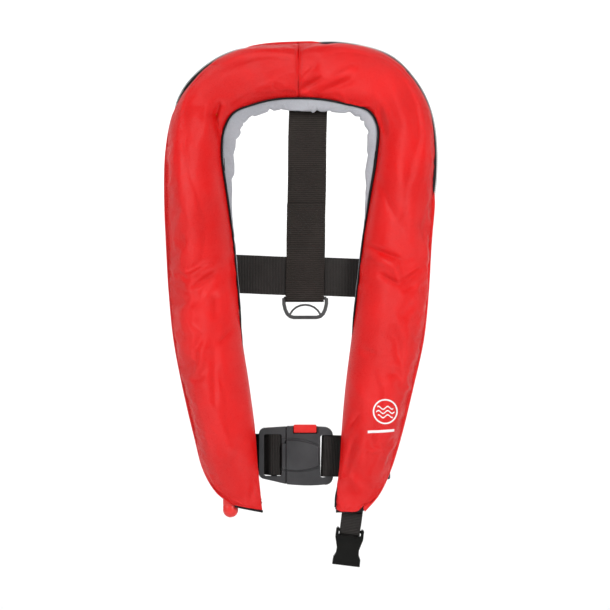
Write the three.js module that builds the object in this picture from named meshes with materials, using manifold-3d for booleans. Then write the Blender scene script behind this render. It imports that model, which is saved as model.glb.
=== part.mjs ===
// An inflatable life jacket, folded into its horseshoe cover and hanging from its collar.
// Millimetres. +Z is up, the wearer's front faces -Y, and +X is the viewer's right. The origin is where the
// collar's lining bears on the neck, a peg or a hanger. "left" and "right" are the viewer's.
import * as THREE from "three";
import { mergeVertices } from "three/addons/utils/BufferGeometryUtils.js";
import Module from "manifold-3d";

const wasm = await Module();
wasm.setup();

// ---------- driving dimensions ----------

// The cover's flat outline from each lobe's tip to the collar's centre: [distance from the centre, z] pairs.
// The right shoulder is packed fuller than the left one.
const OUTER_EDGE = {
  left: [
    [75.6, -478], [96, -462], [111.8, -435.6], [123.6, -392.4], [137.1, -334.8], [148, -277.2],
    [153.8, -219.6], [157.1, -162], [159.3, -104.4], [157.9, -46.8], [149.2, -1.8], [132, 34.2],
    [96.8, 64], [52.8, 79], [0, 83.4],
  ],
  right: [
    [77, -485], [94.5, -464], [108, -435.6], [121.5, -392.4], [135.6, -334.8], [148.3, -277.2],
    [154.3, -219.6], [157.7, -162], [162.4, -104.4], [164.4, -46.8], [158.2, -1.8], [141.6, 34.2],
    [111.4, 66], [62, 81.6], [0, 83.4],
  ],
};
const INNER_EDGE = {
  left: [
    [43.5, -485], [46.2, -458.4], [49.2, -428.4], [52.2, -387.6], [59.4, -332.4], [68.2, -274.8],
    [73.6, -217.2], [79.2, -159.6], [86.7, -104.4], [93.4, -55.2], [91, -24], [79.6, -3.4],
    [57, 6.9], [28.8, 14.1], [0, 15.6],
  ],
  right: [
    [45, -485], [46, -458.4], [49.5, -428.4], [51.9, -387.6], [56.7, -332.4], [63.9, -274.8],
    [71.4, -217.2], [77.9, -159.6], [86.7, -104.4], [95, -55.2], [96.2, -19], [86, -1],
    [57, 8.2], [28.8, 14.1], [0, 15.6],
  ],
};
const LOBE_BULGE = { front: 32, back: 13 };
const COLLAR_BULGE = { front: 22, back: 14 };
const TIP_BULGE = { front: 4, back: 3 };
const LENS_POWER = 1.24; // how full the lens-shaped section is
const NECK_ROLL = 18; // how far the lining swells past the neck seam
const NECK_SEAM_RISE = 6; // how far the neck seam stands in front of the outer edge
const LEAN_FROM_Z = -120; // the collar leans back above this height
const LEAN_RATE = 0.0009;

const FABRIC = 1.1;
const GAP = 0.35; // between pieces that touch
const ALONG = 40; // steps along the horseshoe
const ACROSS = 6; // steps across a panel

const WEBBING = { width: 47, thickness: 1.8 };
const STRAP_X = 8;
const BELT_Z = -200;
const WAIST = { x: -15, y: 23, z: -418 }; // the buckle's parting line

// ---------- small tools ----------

const vec = (x, y, z) => new THREE.Vector3(x, y, z);
const mix = THREE.MathUtils.lerp;
const ramp = (value, from, to) => THREE.MathUtils.smoothstep(value, Math.min(from, to), Math.max(from, to));
const degrees = THREE.MathUtils.degToRad;

function asSolid(geometry) {
  const bare = new THREE.BufferGeometry();
  bare.setAttribute("position", geometry.getAttribute("position"));
  if (geometry.index) bare.setIndex(geometry.index);
  const merged = mergeVertices(bare, 1e-4);
  return new wasm.Manifold(
    new wasm.Mesh({
      numProp: 3,
      vertProperties: new Float32Array(merged.attributes.position.array),
      triVerts: new Uint32Array(merged.index.array),
    }),
  );
}

function asGeometry(body) {
  const mesh = body.getMesh();
  const geometry = new THREE.BufferGeometry();
  geometry.setAttribute("position", new THREE.BufferAttribute(new Float32Array(mesh.vertProperties), 3));
  geometry.setIndex(new THREE.BufferAttribute(new Uint32Array(mesh.triVerts), 1));
  return geometry;
}

const join = (...parts) => asGeometry(parts.map(asSolid).reduce((a, b) => a.add(b)));
const cut = (body, ...tools) => asGeometry(tools.map(asSolid).reduce((a, b) => a.subtract(b), asSolid(body)));

// A closed mesh from vertices and triangles, turned to face outwards.
function closedMesh(vertices, triangles) {
  let volume = 0;
  for (const [a, b, c] of triangles) {
    volume += vertices[a].dot(vertices[b].clone().cross(vertices[c]));
  }
  const geometry = new THREE.BufferGeometry().setFromPoints(vertices);
  geometry.setIndex(triangles.flatMap(([a, b, c]) => (volume > 0 ? [a, b, c] : [a, c, b])));
  return geometry;
}

// A curved plate: two skins, sampled as at(i, j, 0) outside and at(i, j, 1) inside, and the rim between them.
function curvedPlate(rows, columns, at) {
  const vertices = [];
  const triangles = [];
  const index = (i, j, skin) => skin * (rows + 1) * (columns + 1) + i * (columns + 1) + j;
  for (const skin of [0, 1]) {
    for (let i = 0; i <= rows; i++) {
      for (let j = 0; j <= columns; j++) vertices.push(at(i / rows, j / columns, skin));
    }
  }
  const quad = (a, b, c, d) => triangles.push([a, b, c], [a, c, d]);
  for (let i = 0; i < rows; i++) {
    for (let j = 0; j < columns; j++) {
      quad(index(i, j, 0), index(i + 1, j, 0), index(i + 1, j + 1, 0), index(i, j + 1, 0));
      quad(index(i, j, 1), index(i, j + 1, 1), index(i + 1, j + 1, 1), index(i + 1, j, 1));
    }
    quad(index(i, 0, 0), index(i, 0, 1), index(i + 1, 0, 1), index(i + 1, 0, 0));
    quad(index(i, columns, 0), index(i + 1, columns, 0), index(i + 1, columns, 1), index(i, columns, 1));
  }
  for (let j = 0; j < columns; j++) {
    quad(index(0, j, 0), index(0, j + 1, 0), index(0, j + 1, 1), index(0, j, 1));
    quad(index(rows, j, 0), index(rows, j, 1), index(rows, j + 1, 1), index(rows, j + 1, 0));
  }
  return closedMesh(vertices, triangles);
}

// A solid lofted through closed rings, with each end closed from its middle.
function loftedSolid(rings) {
  const count = rings[0].length;
  const vertices = rings.flat();
  const triangles = [];
  for (let i = 0; i + 1 < rings.length; i++) {
    for (let j = 0; j < count; j++) {
      const k = (j + 1) % count;
      triangles.push([i * count + j, (i + 1) * count + j, (i + 1) * count + k]);
      triangles.push([i * count + j, (i + 1) * count + k, i * count + k]);
    }
  }
  for (const [ring, start] of [[rings[0], 0], [rings.at(-1), (rings.length - 1) * count]]) {
    const middle = vertices.length;
    vertices.push(ring.reduce((sum, p) => sum.add(p), vec(0, 0, 0)).divideScalar(count));
    for (let j = 0; j < count; j++) {
      const [a, b] = [start + j, start + ((j + 1) % count)];
      triangles.push(start ? [middle, b, a] : [middle, a, b]);
    }
  }
  return closedMesh(vertices, triangles);
}

// Extrusions: of an outline in X and Z towards -Y, in Y and Z towards +X, and in X and Y towards +Z.
const FRONT_VIEW = new THREE.Matrix4().makeBasis(vec(1, 0, 0), vec(0, 0, 1), vec(0, -1, 0));
const SIDE_VIEW = new THREE.Matrix4().makeBasis(vec(0, 1, 0), vec(0, 0, 1), vec(1, 0, 0));
const TOP_VIEW = new THREE.Matrix4();

function extruded(outline, depth, view, at = [0, 0, 0]) {
  const shape = outline instanceof THREE.Shape ? outline : new THREE.Shape(outline.map(([a, b]) => new THREE.Vector2(a, b)));
  const geometry = new THREE.ExtrudeGeometry(shape, { depth, bevelEnabled: false, curveSegments: 5 });
  return geometry.applyMatrix4(view).translate(...at);
}

function boxFromTo([x0, y0, z0], [x1, y1, z1]) {
  return new THREE.BoxGeometry(x1 - x0, y1 - y0, z1 - z0).translate((x0 + x1) / 2, (y0 + y1) / 2, (z0 + z1) / 2);
}

function roundedOutline(x0, z0, x1, z1, r) {
  const shape = new THREE.Shape();
  shape.moveTo(x0 + r, z0).lineTo(x1 - r, z0).absarc(x1 - r, z0 + r, r, -Math.PI / 2, 0);
  shape.lineTo(x1, z1 - r).absarc(x1 - r, z1 - r, r, 0, Math.PI / 2);
  shape.lineTo(x0 + r, z1).absarc(x0 + r, z1 - r, r, Math.PI / 2, Math.PI);
  shape.lineTo(x0, z0 + r).absarc(x0 + r, z0 + r, r, Math.PI, 1.5 * Math.PI);
  return shape;
}

// The outline of a band of webbing that follows a line of [a, b] points.
function bandOutline(line, thickness) {
  const points = line.map(([a, b]) => new THREE.Vector2(a, b));
  const sides = [[], []];
  points.forEach((p, i) => {
    const before = points[Math.max(i - 1, 0)];
    const after = points[Math.min(i + 1, points.length - 1)];
    const incoming = i ? p.clone().sub(before).normalize() : null;
    const outgoing = i < points.length - 1 ? after.clone().sub(p).normalize() : null;
    const along = (incoming || outgoing).clone().add(outgoing || incoming).normalize();
    const mitre = 1 / Math.max(0.5, along.dot(outgoing || incoming));
    const normal = new THREE.Vector2(-along.y, along.x).multiplyScalar((thickness / 2) * mitre);
    sides[0].push(p.clone().add(normal));
    sides[1].unshift(p.clone().sub(normal));
  });
  return sides.flat().map((p) => [p.x, p.y]);
}

const arc = (a, b, radius, from, to, steps) =>
  Array.from({ length: steps + 1 }, (_, i) => {
    const angle = degrees(mix(from, to, i / steps));
    return [a + radius * Math.cos(angle), b + radius * Math.sin(angle)];
  });

// A turned solid about +Z from an [r, z] profile.
function turned(profile, segments = 16) {
  const geometry = new THREE.LatheGeometry(profile.map(([r, z]) => new THREE.Vector2(r, z)), segments);
  geometry.rotateX(Math.PI / 2);
  return asGeometry(asSolid(geometry));
}

const rod = (radius, z0, z1, segments = 16) => turned([[0, z0], [radius, z0], [radius, z1], [0, z1]], segments);
const pipe = (outer, inner, z0, z1, segments = 16) =>
  turned([[inner, z0], [outer, z0], [outer, z1], [inner, z1], [inner, z0]], segments);

function tubeAlong(points, radius, steps, sides) {
  const section = new THREE.Shape(
    Array.from({ length: sides }, (_, i) => {
      const angle = (i / sides) * 2 * Math.PI;
      return new THREE.Vector2(radius * Math.cos(angle), radius * Math.sin(angle));
    }),
  );
  const path = new THREE.CatmullRomCurve3(points);
  return new THREE.ExtrudeGeometry(section, { steps, extrudePath: path, bevelEnabled: false });
}

function helixSpring(radius, wire, z0, z1, turns) {
  const count = turns * 8;
  const points = Array.from({ length: count + 1 }, (_, i) => {
    const angle = (i / 8) * 2 * Math.PI;
    return vec(radius * Math.cos(angle), radius * Math.sin(angle), mix(z0 + wire, z1 - wire, i / count));
  });
  return tubeAlong(points, wire, count, 5);
}

// ---------- the jacket's envelope ----------

function roundTheNeck({ left, right }) {
  const up = left.map(([x, z]) => vec(-x, 0, z));
  const down = right.slice(0, -1).reverse().map(([x, z]) => vec(x, 0, z));
  return new THREE.CatmullRomCurve3([...up, ...down], false, "centripetal");
}

const outerCurve = roundTheNeck(OUTER_EDGE);
const innerCurve = roundTheNeck(INNER_EDGE);
const lean = (z) => LEAN_RATE * Math.max(0, z - LEAN_FROM_Z) ** 2;
const leanSlope = (z) => 2 * LEAN_RATE * Math.max(0, z - LEAN_FROM_Z);

function bulge(z, side) {
  const body = mix(LOBE_BULGE[side], COLLAR_BULGE[side], ramp(z, -120, 10));
  return mix(TIP_BULGE[side], body, ramp(z, -482, side === "front" ? -405 : -430));
}

// A point on the envelope, or inset millimetres inside it. t runs from the left lobe's tip (0) over the collar
// (0.5) to the right tip (1). turn runs round the section in half turns: 0 at the outer edge, 0 to 1 over the
// front, 1 at the neck edge, and 1 to 2 over the back.
function envelope(t, turn, inset = 0) {
  const outer = outerCurve.getPoint(t);
  const inner = innerCurve.getPoint(t);
  const middle = outer.clone().add(inner).divideScalar(2);
  const outward = outer.clone().sub(inner).normalize();
  const halfWidth = outer.distanceTo(inner) / 2;
  const slope = leanSlope(middle.z);
  const forward = vec(0, -1, slope).normalize();
  const neck = ramp(middle.z, -150, -60);

  const angle = turn * Math.PI;
  const u = Math.cos(angle);
  const isFront = turn <= 1;
  const height = bulge(middle.z, isFront ? "front" : "back");
  const wall = Math.abs(Math.sin(angle)) ** LENS_POWER;
  let across = halfWidth * u - inset * u;
  let out = (isFront ? 1 : -1) * (height - inset) * wall + (NECK_SEAM_RISE * neck * (1 - u)) / 2;
  if (!isFront && turn < 1.5) across -= NECK_ROLL * neck * Math.sin((turn - 1) * 2 * Math.PI) ** 0.8;
  out += (isFront ? 1 : -1) * GAP;
  const point = middle.clone().addScaledVector(outward, across).addScaledVector(forward, out);
  point.y += lean(middle.z);
  return point;
}

// The stations every panel is drawn on, so that neighbouring layers have matching facets.
const SEAM_GAP = 0.0004; // half of the gap at the collar's centre seam, along the horseshoe
const EDGE = 0.03; // how far the panels stop short of the edges, in half turns
const station = (i) => mix(0.004, 0.996, i / ALONG) + SEAM_GAP * Math.sign(i - ALONG / 2);
const frontTurn = (j) => mix(EDGE, 1 - EDGE, j / ACROSS);
const backTurn = (j) => mix(1 + EDGE, 2 - EDGE, j / (2 * ACROSS));

function panel([i0, i1], [j0, j1], turnAt, outside, inside, stationAt = station) {
  return curvedPlate(i1 - i0, j1 - j0, (i, j, skin) =>
    envelope(stationAt(mix(i0, i1, i)), turnAt(mix(j0, j1, j)), skin ? inside : outside),
  );
}

// ---------- the cover and its trim ----------

// Each half of the cover stops just short of the collar's centre seam.
const coverHalf = (side) =>
  panel([0, ALONG / 2], [0, ACROSS], frontTurn, 0, FABRIC, (i) => {
    const t = Math.min(station(i), 0.5 - SEAM_GAP);
    return side < 0 ? t : 1 - t;
  });

function coverParts() {
  const back = panel([0, ALONG], [0, 2 * ACROSS], backTurn, 0, FABRIC);
  const lanyardSlot = boxFromTo([-96, -5, -500], [-69, 40, -422]);
  const piping = loftedSolid(
    Array.from({ length: ALONG + 1 }, (_, i) => {
      const t = mix(0.012, 0.988, i / ALONG);
      const centre = envelope(t, 1);
      const inward = centre.clone().sub(envelope(t, 0)).normalize();
      centre.addScaledVector(inward, 1.6).add(vec(0, -1.6, 0));
      return [0, 1, 2, 3].map((k) => {
        const angle = degrees(45 + 90 * k);
        return centre.clone().addScaledVector(inward, 1.2 * Math.cos(angle)).add(vec(0, 1.2 * Math.sin(angle), 0));
      });
    }),
  );
  const edgeStrip = ([i0, i1], near, far, y0, y1) =>
    curvedPlate(i1 - i0, 1, (i, j, skin) => {
      const t = mix(0.045, 0.955, mix(i0, i1, i) / ALONG);
      const edge = envelope(t, 0);
      const outward = edge.clone().sub(envelope(t, 1)).setY(0).normalize();
      return edge.addScaledVector(outward, skin ? near : far).add(vec(0, mix(y0, y1, j), 0));
    });
  return {
    cover_front_left: coverHalf(-1),
    cover_front_right: coverHalf(1),
    back_panel: cut(back, lanyardSlot),
    neck_lining: panel([9, ALONG - 9], [0, ACROSS], backTurn, -GAP - 1.2, -GAP),
    neck_piping: piping,
    zip_tape: edgeStrip([0, ALONG], 1.2, 2.1, -3.5, 5.5),
    zip_chain: edgeStrip([3, ALONG - 3], 2.5, 3.8, -0.5, 3.5),
  };
}

// The zip's slider, parked past the chain's end behind the right lobe, with its pull on a bail.
const ZIP_PARK = { t: 0.912, y: 10 };

function zipSliderParts() {
  const edge = envelope(ZIP_PARK.t, 0, 0);
  const [x, z] = [edge.x - 6, edge.z];
  const body = extruded(roundedOutline(x - 4, z - 6, x + 4, z + 6, 2.5), 3, FRONT_VIEW, [0, ZIP_PARK.y + 3, 0]);
  const back = ZIP_PARK.y;
  const bailLine = [[back + 2.6, z - 4.5], [back + 8.5, z - 3.5], [back + 8.5, z + 3.5], [back + 2.6, z + 4.5]];
  const bail = extruded(bandOutline(bailLine, 1), 1.6, SIDE_VIEW, [x - 0.8, 0, 0]);
  const eyeZ = z - 3.9;
  const outline = roundedOutline(x - 2.8, eyeZ - 26, x + 2.8, eyeZ + 2.5, 2.4);
  outline.holes.push(roundedOutline(x - 1.5, eyeZ - 4.6, x + 1.5, eyeZ + 0.9, 1.2));
  const pull = extruded(outline, 1.2, FRONT_VIEW, [0, back + 6.8, 0]);
  return { zip_slider: join(body, bail), zip_pull: pull };
}

// ---------- the bladder and what is welded to it ----------

const TILT = degrees(9.5); // the lobes lean outwards by this much as they rise
const INFLATOR_AT = vec(-92, -8, -372);
const ORAL_AT = vec(84, -6, -330);

// Turns a piece made about the lobe's own axis into place. side is -1 on the left lobe and 1 on the right.
const inLobe = (geometry, at, side) => geometry.rotateY(side * TILT).translate(at.x, at.y, at.z);

function bladderParts() {
  const ring = (t) =>
    Array.from({ length: 16 }, (_, j) => envelope(t, (j / 16) * 2, 4.2));
  const rings = Array.from({ length: ALONG - 3 }, (_, i) => ring(mix(0.085, 0.915, i / (ALONG - 4))));
  const inflatorBay = inLobe(boxFromTo([-22, -60, -140], [90, 60, 156]), INFLATOR_AT, -1);
  const oralBay = inLobe(boxFromTo([-90, -60, -120], [14, 60, 152]), ORAL_AT, 1);
  const tape = (i0, i1) => panel([i0, i1], [1, 3], frontTurn, 1.5, 2.1);
  return {
    bladder: cut(loftedSolid(rings), inflatorBay, oralBay),
    reflective_tape_left: tape(12, 15),
    reflective_tape_right: tape(25, 28),
  };
}

// ---------- the inflator in the left lobe ----------

const CYLINDER = { radius: 16, length: 133, neck: 7.5 };
const LEVER = { pivotX: -9, pivotZ: -14, arm: 20, swing: 35 }; // rests 35 degrees above level
const LEVER_Y = 12.3; // the lever's middle, behind the inflator's axis

function inflatorParts() {
  const body = join(
    extruded(roundedOutline(-18, -21, 18, 12, 5), 21, FRONT_VIEW, [0, 10.5, 0]),
    rod(11, 11, 20, 20),
    rod(2, 10, 15, 12).rotateX(-Math.PI / 2).translate(LEVER.pivotX, 0, LEVER.pivotZ),
  );
  const pinBore = rod(3.1, -30, 22, 16);
  const neckBore = rod(8.2, 13, 21, 16);
  const rest = degrees(LEVER.swing);
  const tip = [LEVER.arm * Math.cos(rest), LEVER.arm * Math.sin(rest)];
  const disc = (x, z, r) => new THREE.Shape().absarc(x, z, r, 0, 2 * Math.PI);
  const plate = (outline) => extruded(outline, 3, FRONT_VIEW, [0, 1.5, 0]);
  const across = (radius, x, z) => rod(radius, -9, 9, 12).rotateX(-Math.PI / 2).translate(x, 0, z);
  const lever = cut(
    join(plate(disc(0, 0, 5)), plate(bandOutline([[0, 0], tip], 5)), plate(disc(...tip, 3.4))),
    across(2.4, 0, 0),
    across(1.5, ...tip),
  );
  const z0 = 14;
  const { radius, length, neck } = CYLINDER;
  const cylinder = turned(
    [[0, z0], [neck, z0], [neck, z0 + 12], [radius - 3, z0 + 20], [radius, z0 + 27],
     [radius, z0 + length - 12], [radius - 5, z0 + length - 3], [0, z0 + length]],
    20,
  );
  const clip = boxFromTo([-19.9, -4, -8], [-18.4, 4, 4]);
  const cap = turned([[0, -44], [10, -44], [11.5, -42], [11.5, -35.4], [0, -35.4]], 18);
  const parts = {
    inflator_body: cut(body, pinBore, neckBore),
    co2_cylinder: cylinder,
    auto_cartridge: cut(rod(10, -35, -21.4, 18), rod(3.1, -36, -20, 12)),
    cartridge_cap: cap,
    status_clip: clip,
    piercing_pin: turned([[0, -20], [2.6, -20], [2.6, 2], [0.6, 8], [0, 8]], 12),
  };
  for (const geometry of Object.values(parts)) inLobe(geometry, INFLATOR_AT, -1);
  const pivot = vec(LEVER.pivotX, LEVER_Y, LEVER.pivotZ).applyAxisAngle(vec(0, 1, 0), -TILT).add(INFLATOR_AT);
  return { ...parts, firing_lever: lever.translate(pivot.x, pivot.y, pivot.z) };
}

// ---------- the pull handle that hangs out of the left lobe ----------

const HANDLE = { x: -82.4, y: 10, top: -461, bottom: -492.5, radius: 9.2 };

function handleParts() {
  const { x, y, top, bottom, radius: r } = HANDLE;
  const dome = arc(0, bottom + r, r, -90, 0, 5);
  const shoulder = arc(r - 4, top - 4, 4, 0, 90, 3);
  const handle = turned([...dome, ...shoulder, [3, top], [2.4, top + 6], [0, top + 6]], 18);
  const start = vec(x, y, top + 6.4);
  const end = vec(-82.4, INFLATOR_AT.y + LEVER_Y + 3.2, -376);
  const middle = start.clone().lerp(end, 0.5);
  return {
    pull_handle: handle.translate(x, y, 0),
    pull_lanyard: tubeAlong([start, middle, end], 1.2, 6, 8),
  };
}

// ---------- the oral tube and the whistle in the right lobe ----------

function oralParts() {
  const valve = cut(
    turned([[0, 92], [7, 92], [9.5, 95], [9.5, 112], [8, 116], [8, 122], [0, 122]], 18),
    rod(4.6, 96, 124, 14),
    rod(4.8, 90, 95.5, 14),
  );
  const parts = {
    oral_tube: join(pipe(6.5, 4.5, 0, 91.6, 14), turned([[4.5, 0], [12, 0], [12, 1.5], [4.5, 1.5], [4.5, 0]], 18)),
    oral_valve_body: cut(valve, rod(1.6, 94, 98, 10)),
    oral_valve_spring: helixSpring(3.1, 0.4, 96.4, 108, 4),
    oral_valve_poppet: turned([[0, 108.5], [4.1, 108.5], [4.1, 111], [2, 112], [2, 118], [0, 118]], 12),
    whistle: cut(
      extruded(roundedOutline(-9, -62, 9, -12, 5), 11, FRONT_VIEW, [0, 5.5, 0]),
      boxFromTo([-12, -3, -40], [-2, 3, -34]),
    ),
  };
  for (const geometry of Object.values(parts)) inLobe(geometry, ORAL_AT, 1);
  parts.whistle_cord = inLobe(
    tubeAlong([vec(-3, -1, -11), vec(-11, -1, -5), vec(-14.4, -1, 1), vec(-12, -1, 8), vec(-8.2, -1, 13)], 0.9, 8, 6),
    ORAL_AT,
    1,
  );
  return parts;
}

// ---------- the harness behind the jacket ----------

const STRAP = { y: 34.5, gap: 9, loopZ: -226.3, tailZ: -111 };

function harnessParts() {
  const { width, thickness } = WEBBING;
  const x0 = STRAP_X - width / 2;
  const front = STRAP.y - STRAP.gap;
  const centre = STRAP.y - STRAP.gap / 2;
  const strapLine = [
    [38.9, 60], [39.9, 34], [39.3, 14], [STRAP.y, -105], [STRAP.y, STRAP.loopZ],
    ...arc(centre, STRAP.loopZ, STRAP.gap / 2, -18, -162, 4),
    [front, STRAP.loopZ], [front, -172], [STRAP.y - thickness - GAP, -160], [STRAP.y - thickness - GAP, STRAP.tailZ],
  ];
  const beltLine = Array.from({ length: 15 }, (_, i) => {
    const x = mix(-134, 134, i / 14);
    const sway = Math.cos((Math.PI / 2) * Math.min(1, Math.abs(x - STRAP_X) / 78)) ** 2;
    return [x, mix(19.2, centre, sway)];
  });
  const rise = (side) =>
    boxFromTo([-width / 2, -thickness / 2, -126], [width / 2, thickness / 2, 126])
      .rotateY(side * degrees(7.8))
      .translate(side * 97, 16.2, -308);
  const keeper = (side, at, halfSpan, halfHeight, low, high) => {
    const line = [[-halfSpan - 5, low], [-halfSpan, low], [-halfSpan + 1.5, high], [halfSpan - 1.5, high],
      [halfSpan, low], [halfSpan + 5, low]];
    return extruded(bandOutline(line, 1), 2 * halfHeight, TOP_VIEW, [0, 0, -halfHeight])
      .rotateY(side * degrees(7.8))
      .translate(side * at.x, 0, at.z);
  };
  return {
    back_strap: extruded(bandOutline(strapLine, thickness), width, SIDE_VIEW, [x0, 0, 0]),
    belt_back: extruded(bandOutline(beltLine, thickness), width, TOP_VIEW, [0, 0, BELT_Z - width / 2]),
    belt_rise_left: rise(-1),
    belt_rise_right: rise(1),
    belt_keeper_left: keeper(-1, { x: 97, z: -308 }, 25.5, 12.5, 14.0, 18.7),
    belt_keeper_right: keeper(1, { x: 97, z: -308 }, 25.5, 12.5, 14.0, 18.7),
  };
}

// The moulded loop at the strap's end, with an arch across its eye.
function crotchRingParts() {
  const centre = STRAP.y - STRAP.gap / 2;
  const z = STRAP.loopZ;
  const side = [[26, 0], [26, -7], [24.4, -14], [21.8, -19.4], [18.4, -22.4], [14.2, -23.6]];
  const left = side.map(([x, drop]) => [-x, z + drop]);
  const right = side.map(([x, drop]) => [x, z + drop]).reverse();
  const frame = bandOutline([...left, ...right], 4.4);
  const arch = bandOutline(arc(0, z - 27, 20, 157, 23, 8).map(([x, h]) => [x, z - 27 + (h - z + 27) * 0.94]), 2.4);
  const bar = rod(2, -26, 26, 10).rotateY(Math.PI / 2).translate(0, 0, z);
  const ring = join(
    extruded(frame, 4.6, FRONT_VIEW, [0, 2.3, 0]),
    extruded(arch, 3.2, FRONT_VIEW, [0, 1.6, 0]),
    bar,
  );
  return { crotch_ring: ring.translate(STRAP_X, centre, 0) };
}

// ---------- the front buckle ----------

const TONGUE = { length: 24, half: 16, thickness: 5 };
const BUTTON_TRAVEL = 3.5;

function buckleParts() {
  const tongueOutline = new THREE.Shape();
  tongueOutline.moveTo(-0.3, -34.5).lineTo(-0.3, 35.5).lineTo(-24, 34).absarc(-26, 26.5, 7.4, degrees(80), degrees(180));
  tongueOutline.lineTo(-33.4, -20).absarc(-26, -21, 7.4, degrees(180), degrees(262)).lineTo(-0.3, -34.5);
  tongueOutline.holes.push(roundedOutline(-27.2, -25, -5.7, 26, 2.5));
  const frame = extruded(tongueOutline, 9, FRONT_VIEW, [0, 4.5, 0]);
  const bar = extruded(roundedOutline(-18.5, -28, -11.5, 29, 1.5), 4, FRONT_VIEW, [0, 2, 0]);
  const tongue = boxFromTo([-4, -TONGUE.thickness / 2, -TONGUE.half], [TONGUE.length, TONGUE.thickness / 2, TONGUE.half]);
  const catchDepth = -TONGUE.half + 3.8;
  const notch = boxFromTo([14.7, -5, -TONGUE.half - 1], [17.1, 5, catchDepth]);
  const tipRelief = boxFromTo([19.6, -5, -TONGUE.half - 1], [TONGUE.length + 1, 5, catchDepth]);
  const pad = extruded(roundedOutline(-5.5, -19, -0.3, 15, 1), 1.5, FRONT_VIEW, [0, -4.3, 0]);

  const shellOutline = new THREE.Shape();
  shellOutline.moveTo(0.3, -34.6).quadraticCurveTo(28, -37.5, 47, -35).absarc(47, -25.5, 9.9, -Math.PI / 2, 0);
  shellOutline.lineTo(56.9, 22).absarc(46, 24, 10.9, 0, Math.PI / 2).quadraticCurveTo(24, 36.8, 0.3, 35.8);
  shellOutline.lineTo(0.3, -34.6);
  shellOutline.holes.push(roundedOutline(41.5, -27, 48, 25, 2.5));
  const cavity = boxFromTo([-2, -3.1, -TONGUE.half - 0.6], [27, 3.1, TONGUE.half + 0.6]);
  const lockWell = boxFromTo([11.6, -5.4, -31], [20.4, 5.4, 28]);
  const buttonWell = boxFromTo([8.2, -4.6, 23.5], [37.6, 4.6, 40]);
  const windowAbove = boxFromTo([6.4, -12, 27], [39.4, -4.2, 40]);
  const barRelief = (y0, y1) => boxFromTo([47, y0, -25], [60, y1, 25]);
  const raised = extruded(roundedOutline(0.3, -19, 35, 15, 3), 1.6, FRONT_VIEW, [0, -6.8, 0]);
  const shell = (yBack, depth) => extruded(shellOutline, depth, FRONT_VIEW, [0, yBack, 0]);
  const hollow = [cavity, lockWell, buttonWell];

  // A thin frame round the tongue: its lower bar stands in the tongue's notch until the button pushes it down.
  const plate = join(
    cut(boxFromTo([15.2, -5, -17], [16.8, 5, 23.2]), boxFromTo([13, -3, -12.8], [19, 3, 20.4])),
    boxFromTo([15.2, -4, 23], [16.8, 4, 24.2 + BUTTON_TRAVEL - GAP]),
    boxFromTo([12.6, -4.4, -17.1], [19.4, 4.4, -16.4]),
  );
  const parts = {
    buckle_tongue_half: cut(join(frame, bar, tongue, pad), notch, tipRelief),
    receiver_front_shell: cut(join(shell(-GAP / 2, 6.8), raised), ...hollow, windowAbove, barRelief(-12, -3.2)),
    receiver_back_shell: cut(shell(6.8, 6.8 - GAP / 2), ...hollow, barRelief(3.2, 12)),
    release_button: extruded(roundedOutline(9, 24.2 + BUTTON_TRAVEL, 36.7, 37.6, 1.5), 8.6, FRONT_VIEW, [0, 4.3, 0]),
    lock_plate: plate,
    button_spring: helixSpring(3.4, 0.5, -30.7, -17.4, 5).translate(16, 0, 0),
  };
  for (const geometry of Object.values(parts)) geometry.translate(WAIST.x, WAIST.y, WAIST.z);
  return parts;
}

function frontBeltParts() {
  const { width, thickness } = WEBBING;
  const right = [
    [67, -2.6], [59, -4.8], ...arc(49.5, 0, 4.8, -90, -270, 8), [59, 4.8], [70, 0], [117, 0],
  ];
  const left = [
    [-88, 4.2], [-36, 6.6], [-26.4, 6.4], [-20, -3.2], [-16.5, -4.1], [-12.5, -4.0], ...arc(-11.5, 0.4, 3.9, -60, 60, 4),
    [-16, 7.6], [-28, 9.2], [-38, 9.6], [-78, 8.6],
  ];
  const belt = (line) =>
    extruded(bandOutline(line, thickness), width, TOP_VIEW, [0, 0, -width / 2]).translate(WAIST.x, WAIST.y, WAIST.z);
  return { belt_front_right: belt(right), belt_front_left: belt(left) };
}

// ---------- the crotch strap's stub and socket, under the right lobe ----------

const CROTCH = { x: 66, y: 9.5, pivotZ: -479, barZ: -508.5, width: 25, tilt: degrees(7) };

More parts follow.
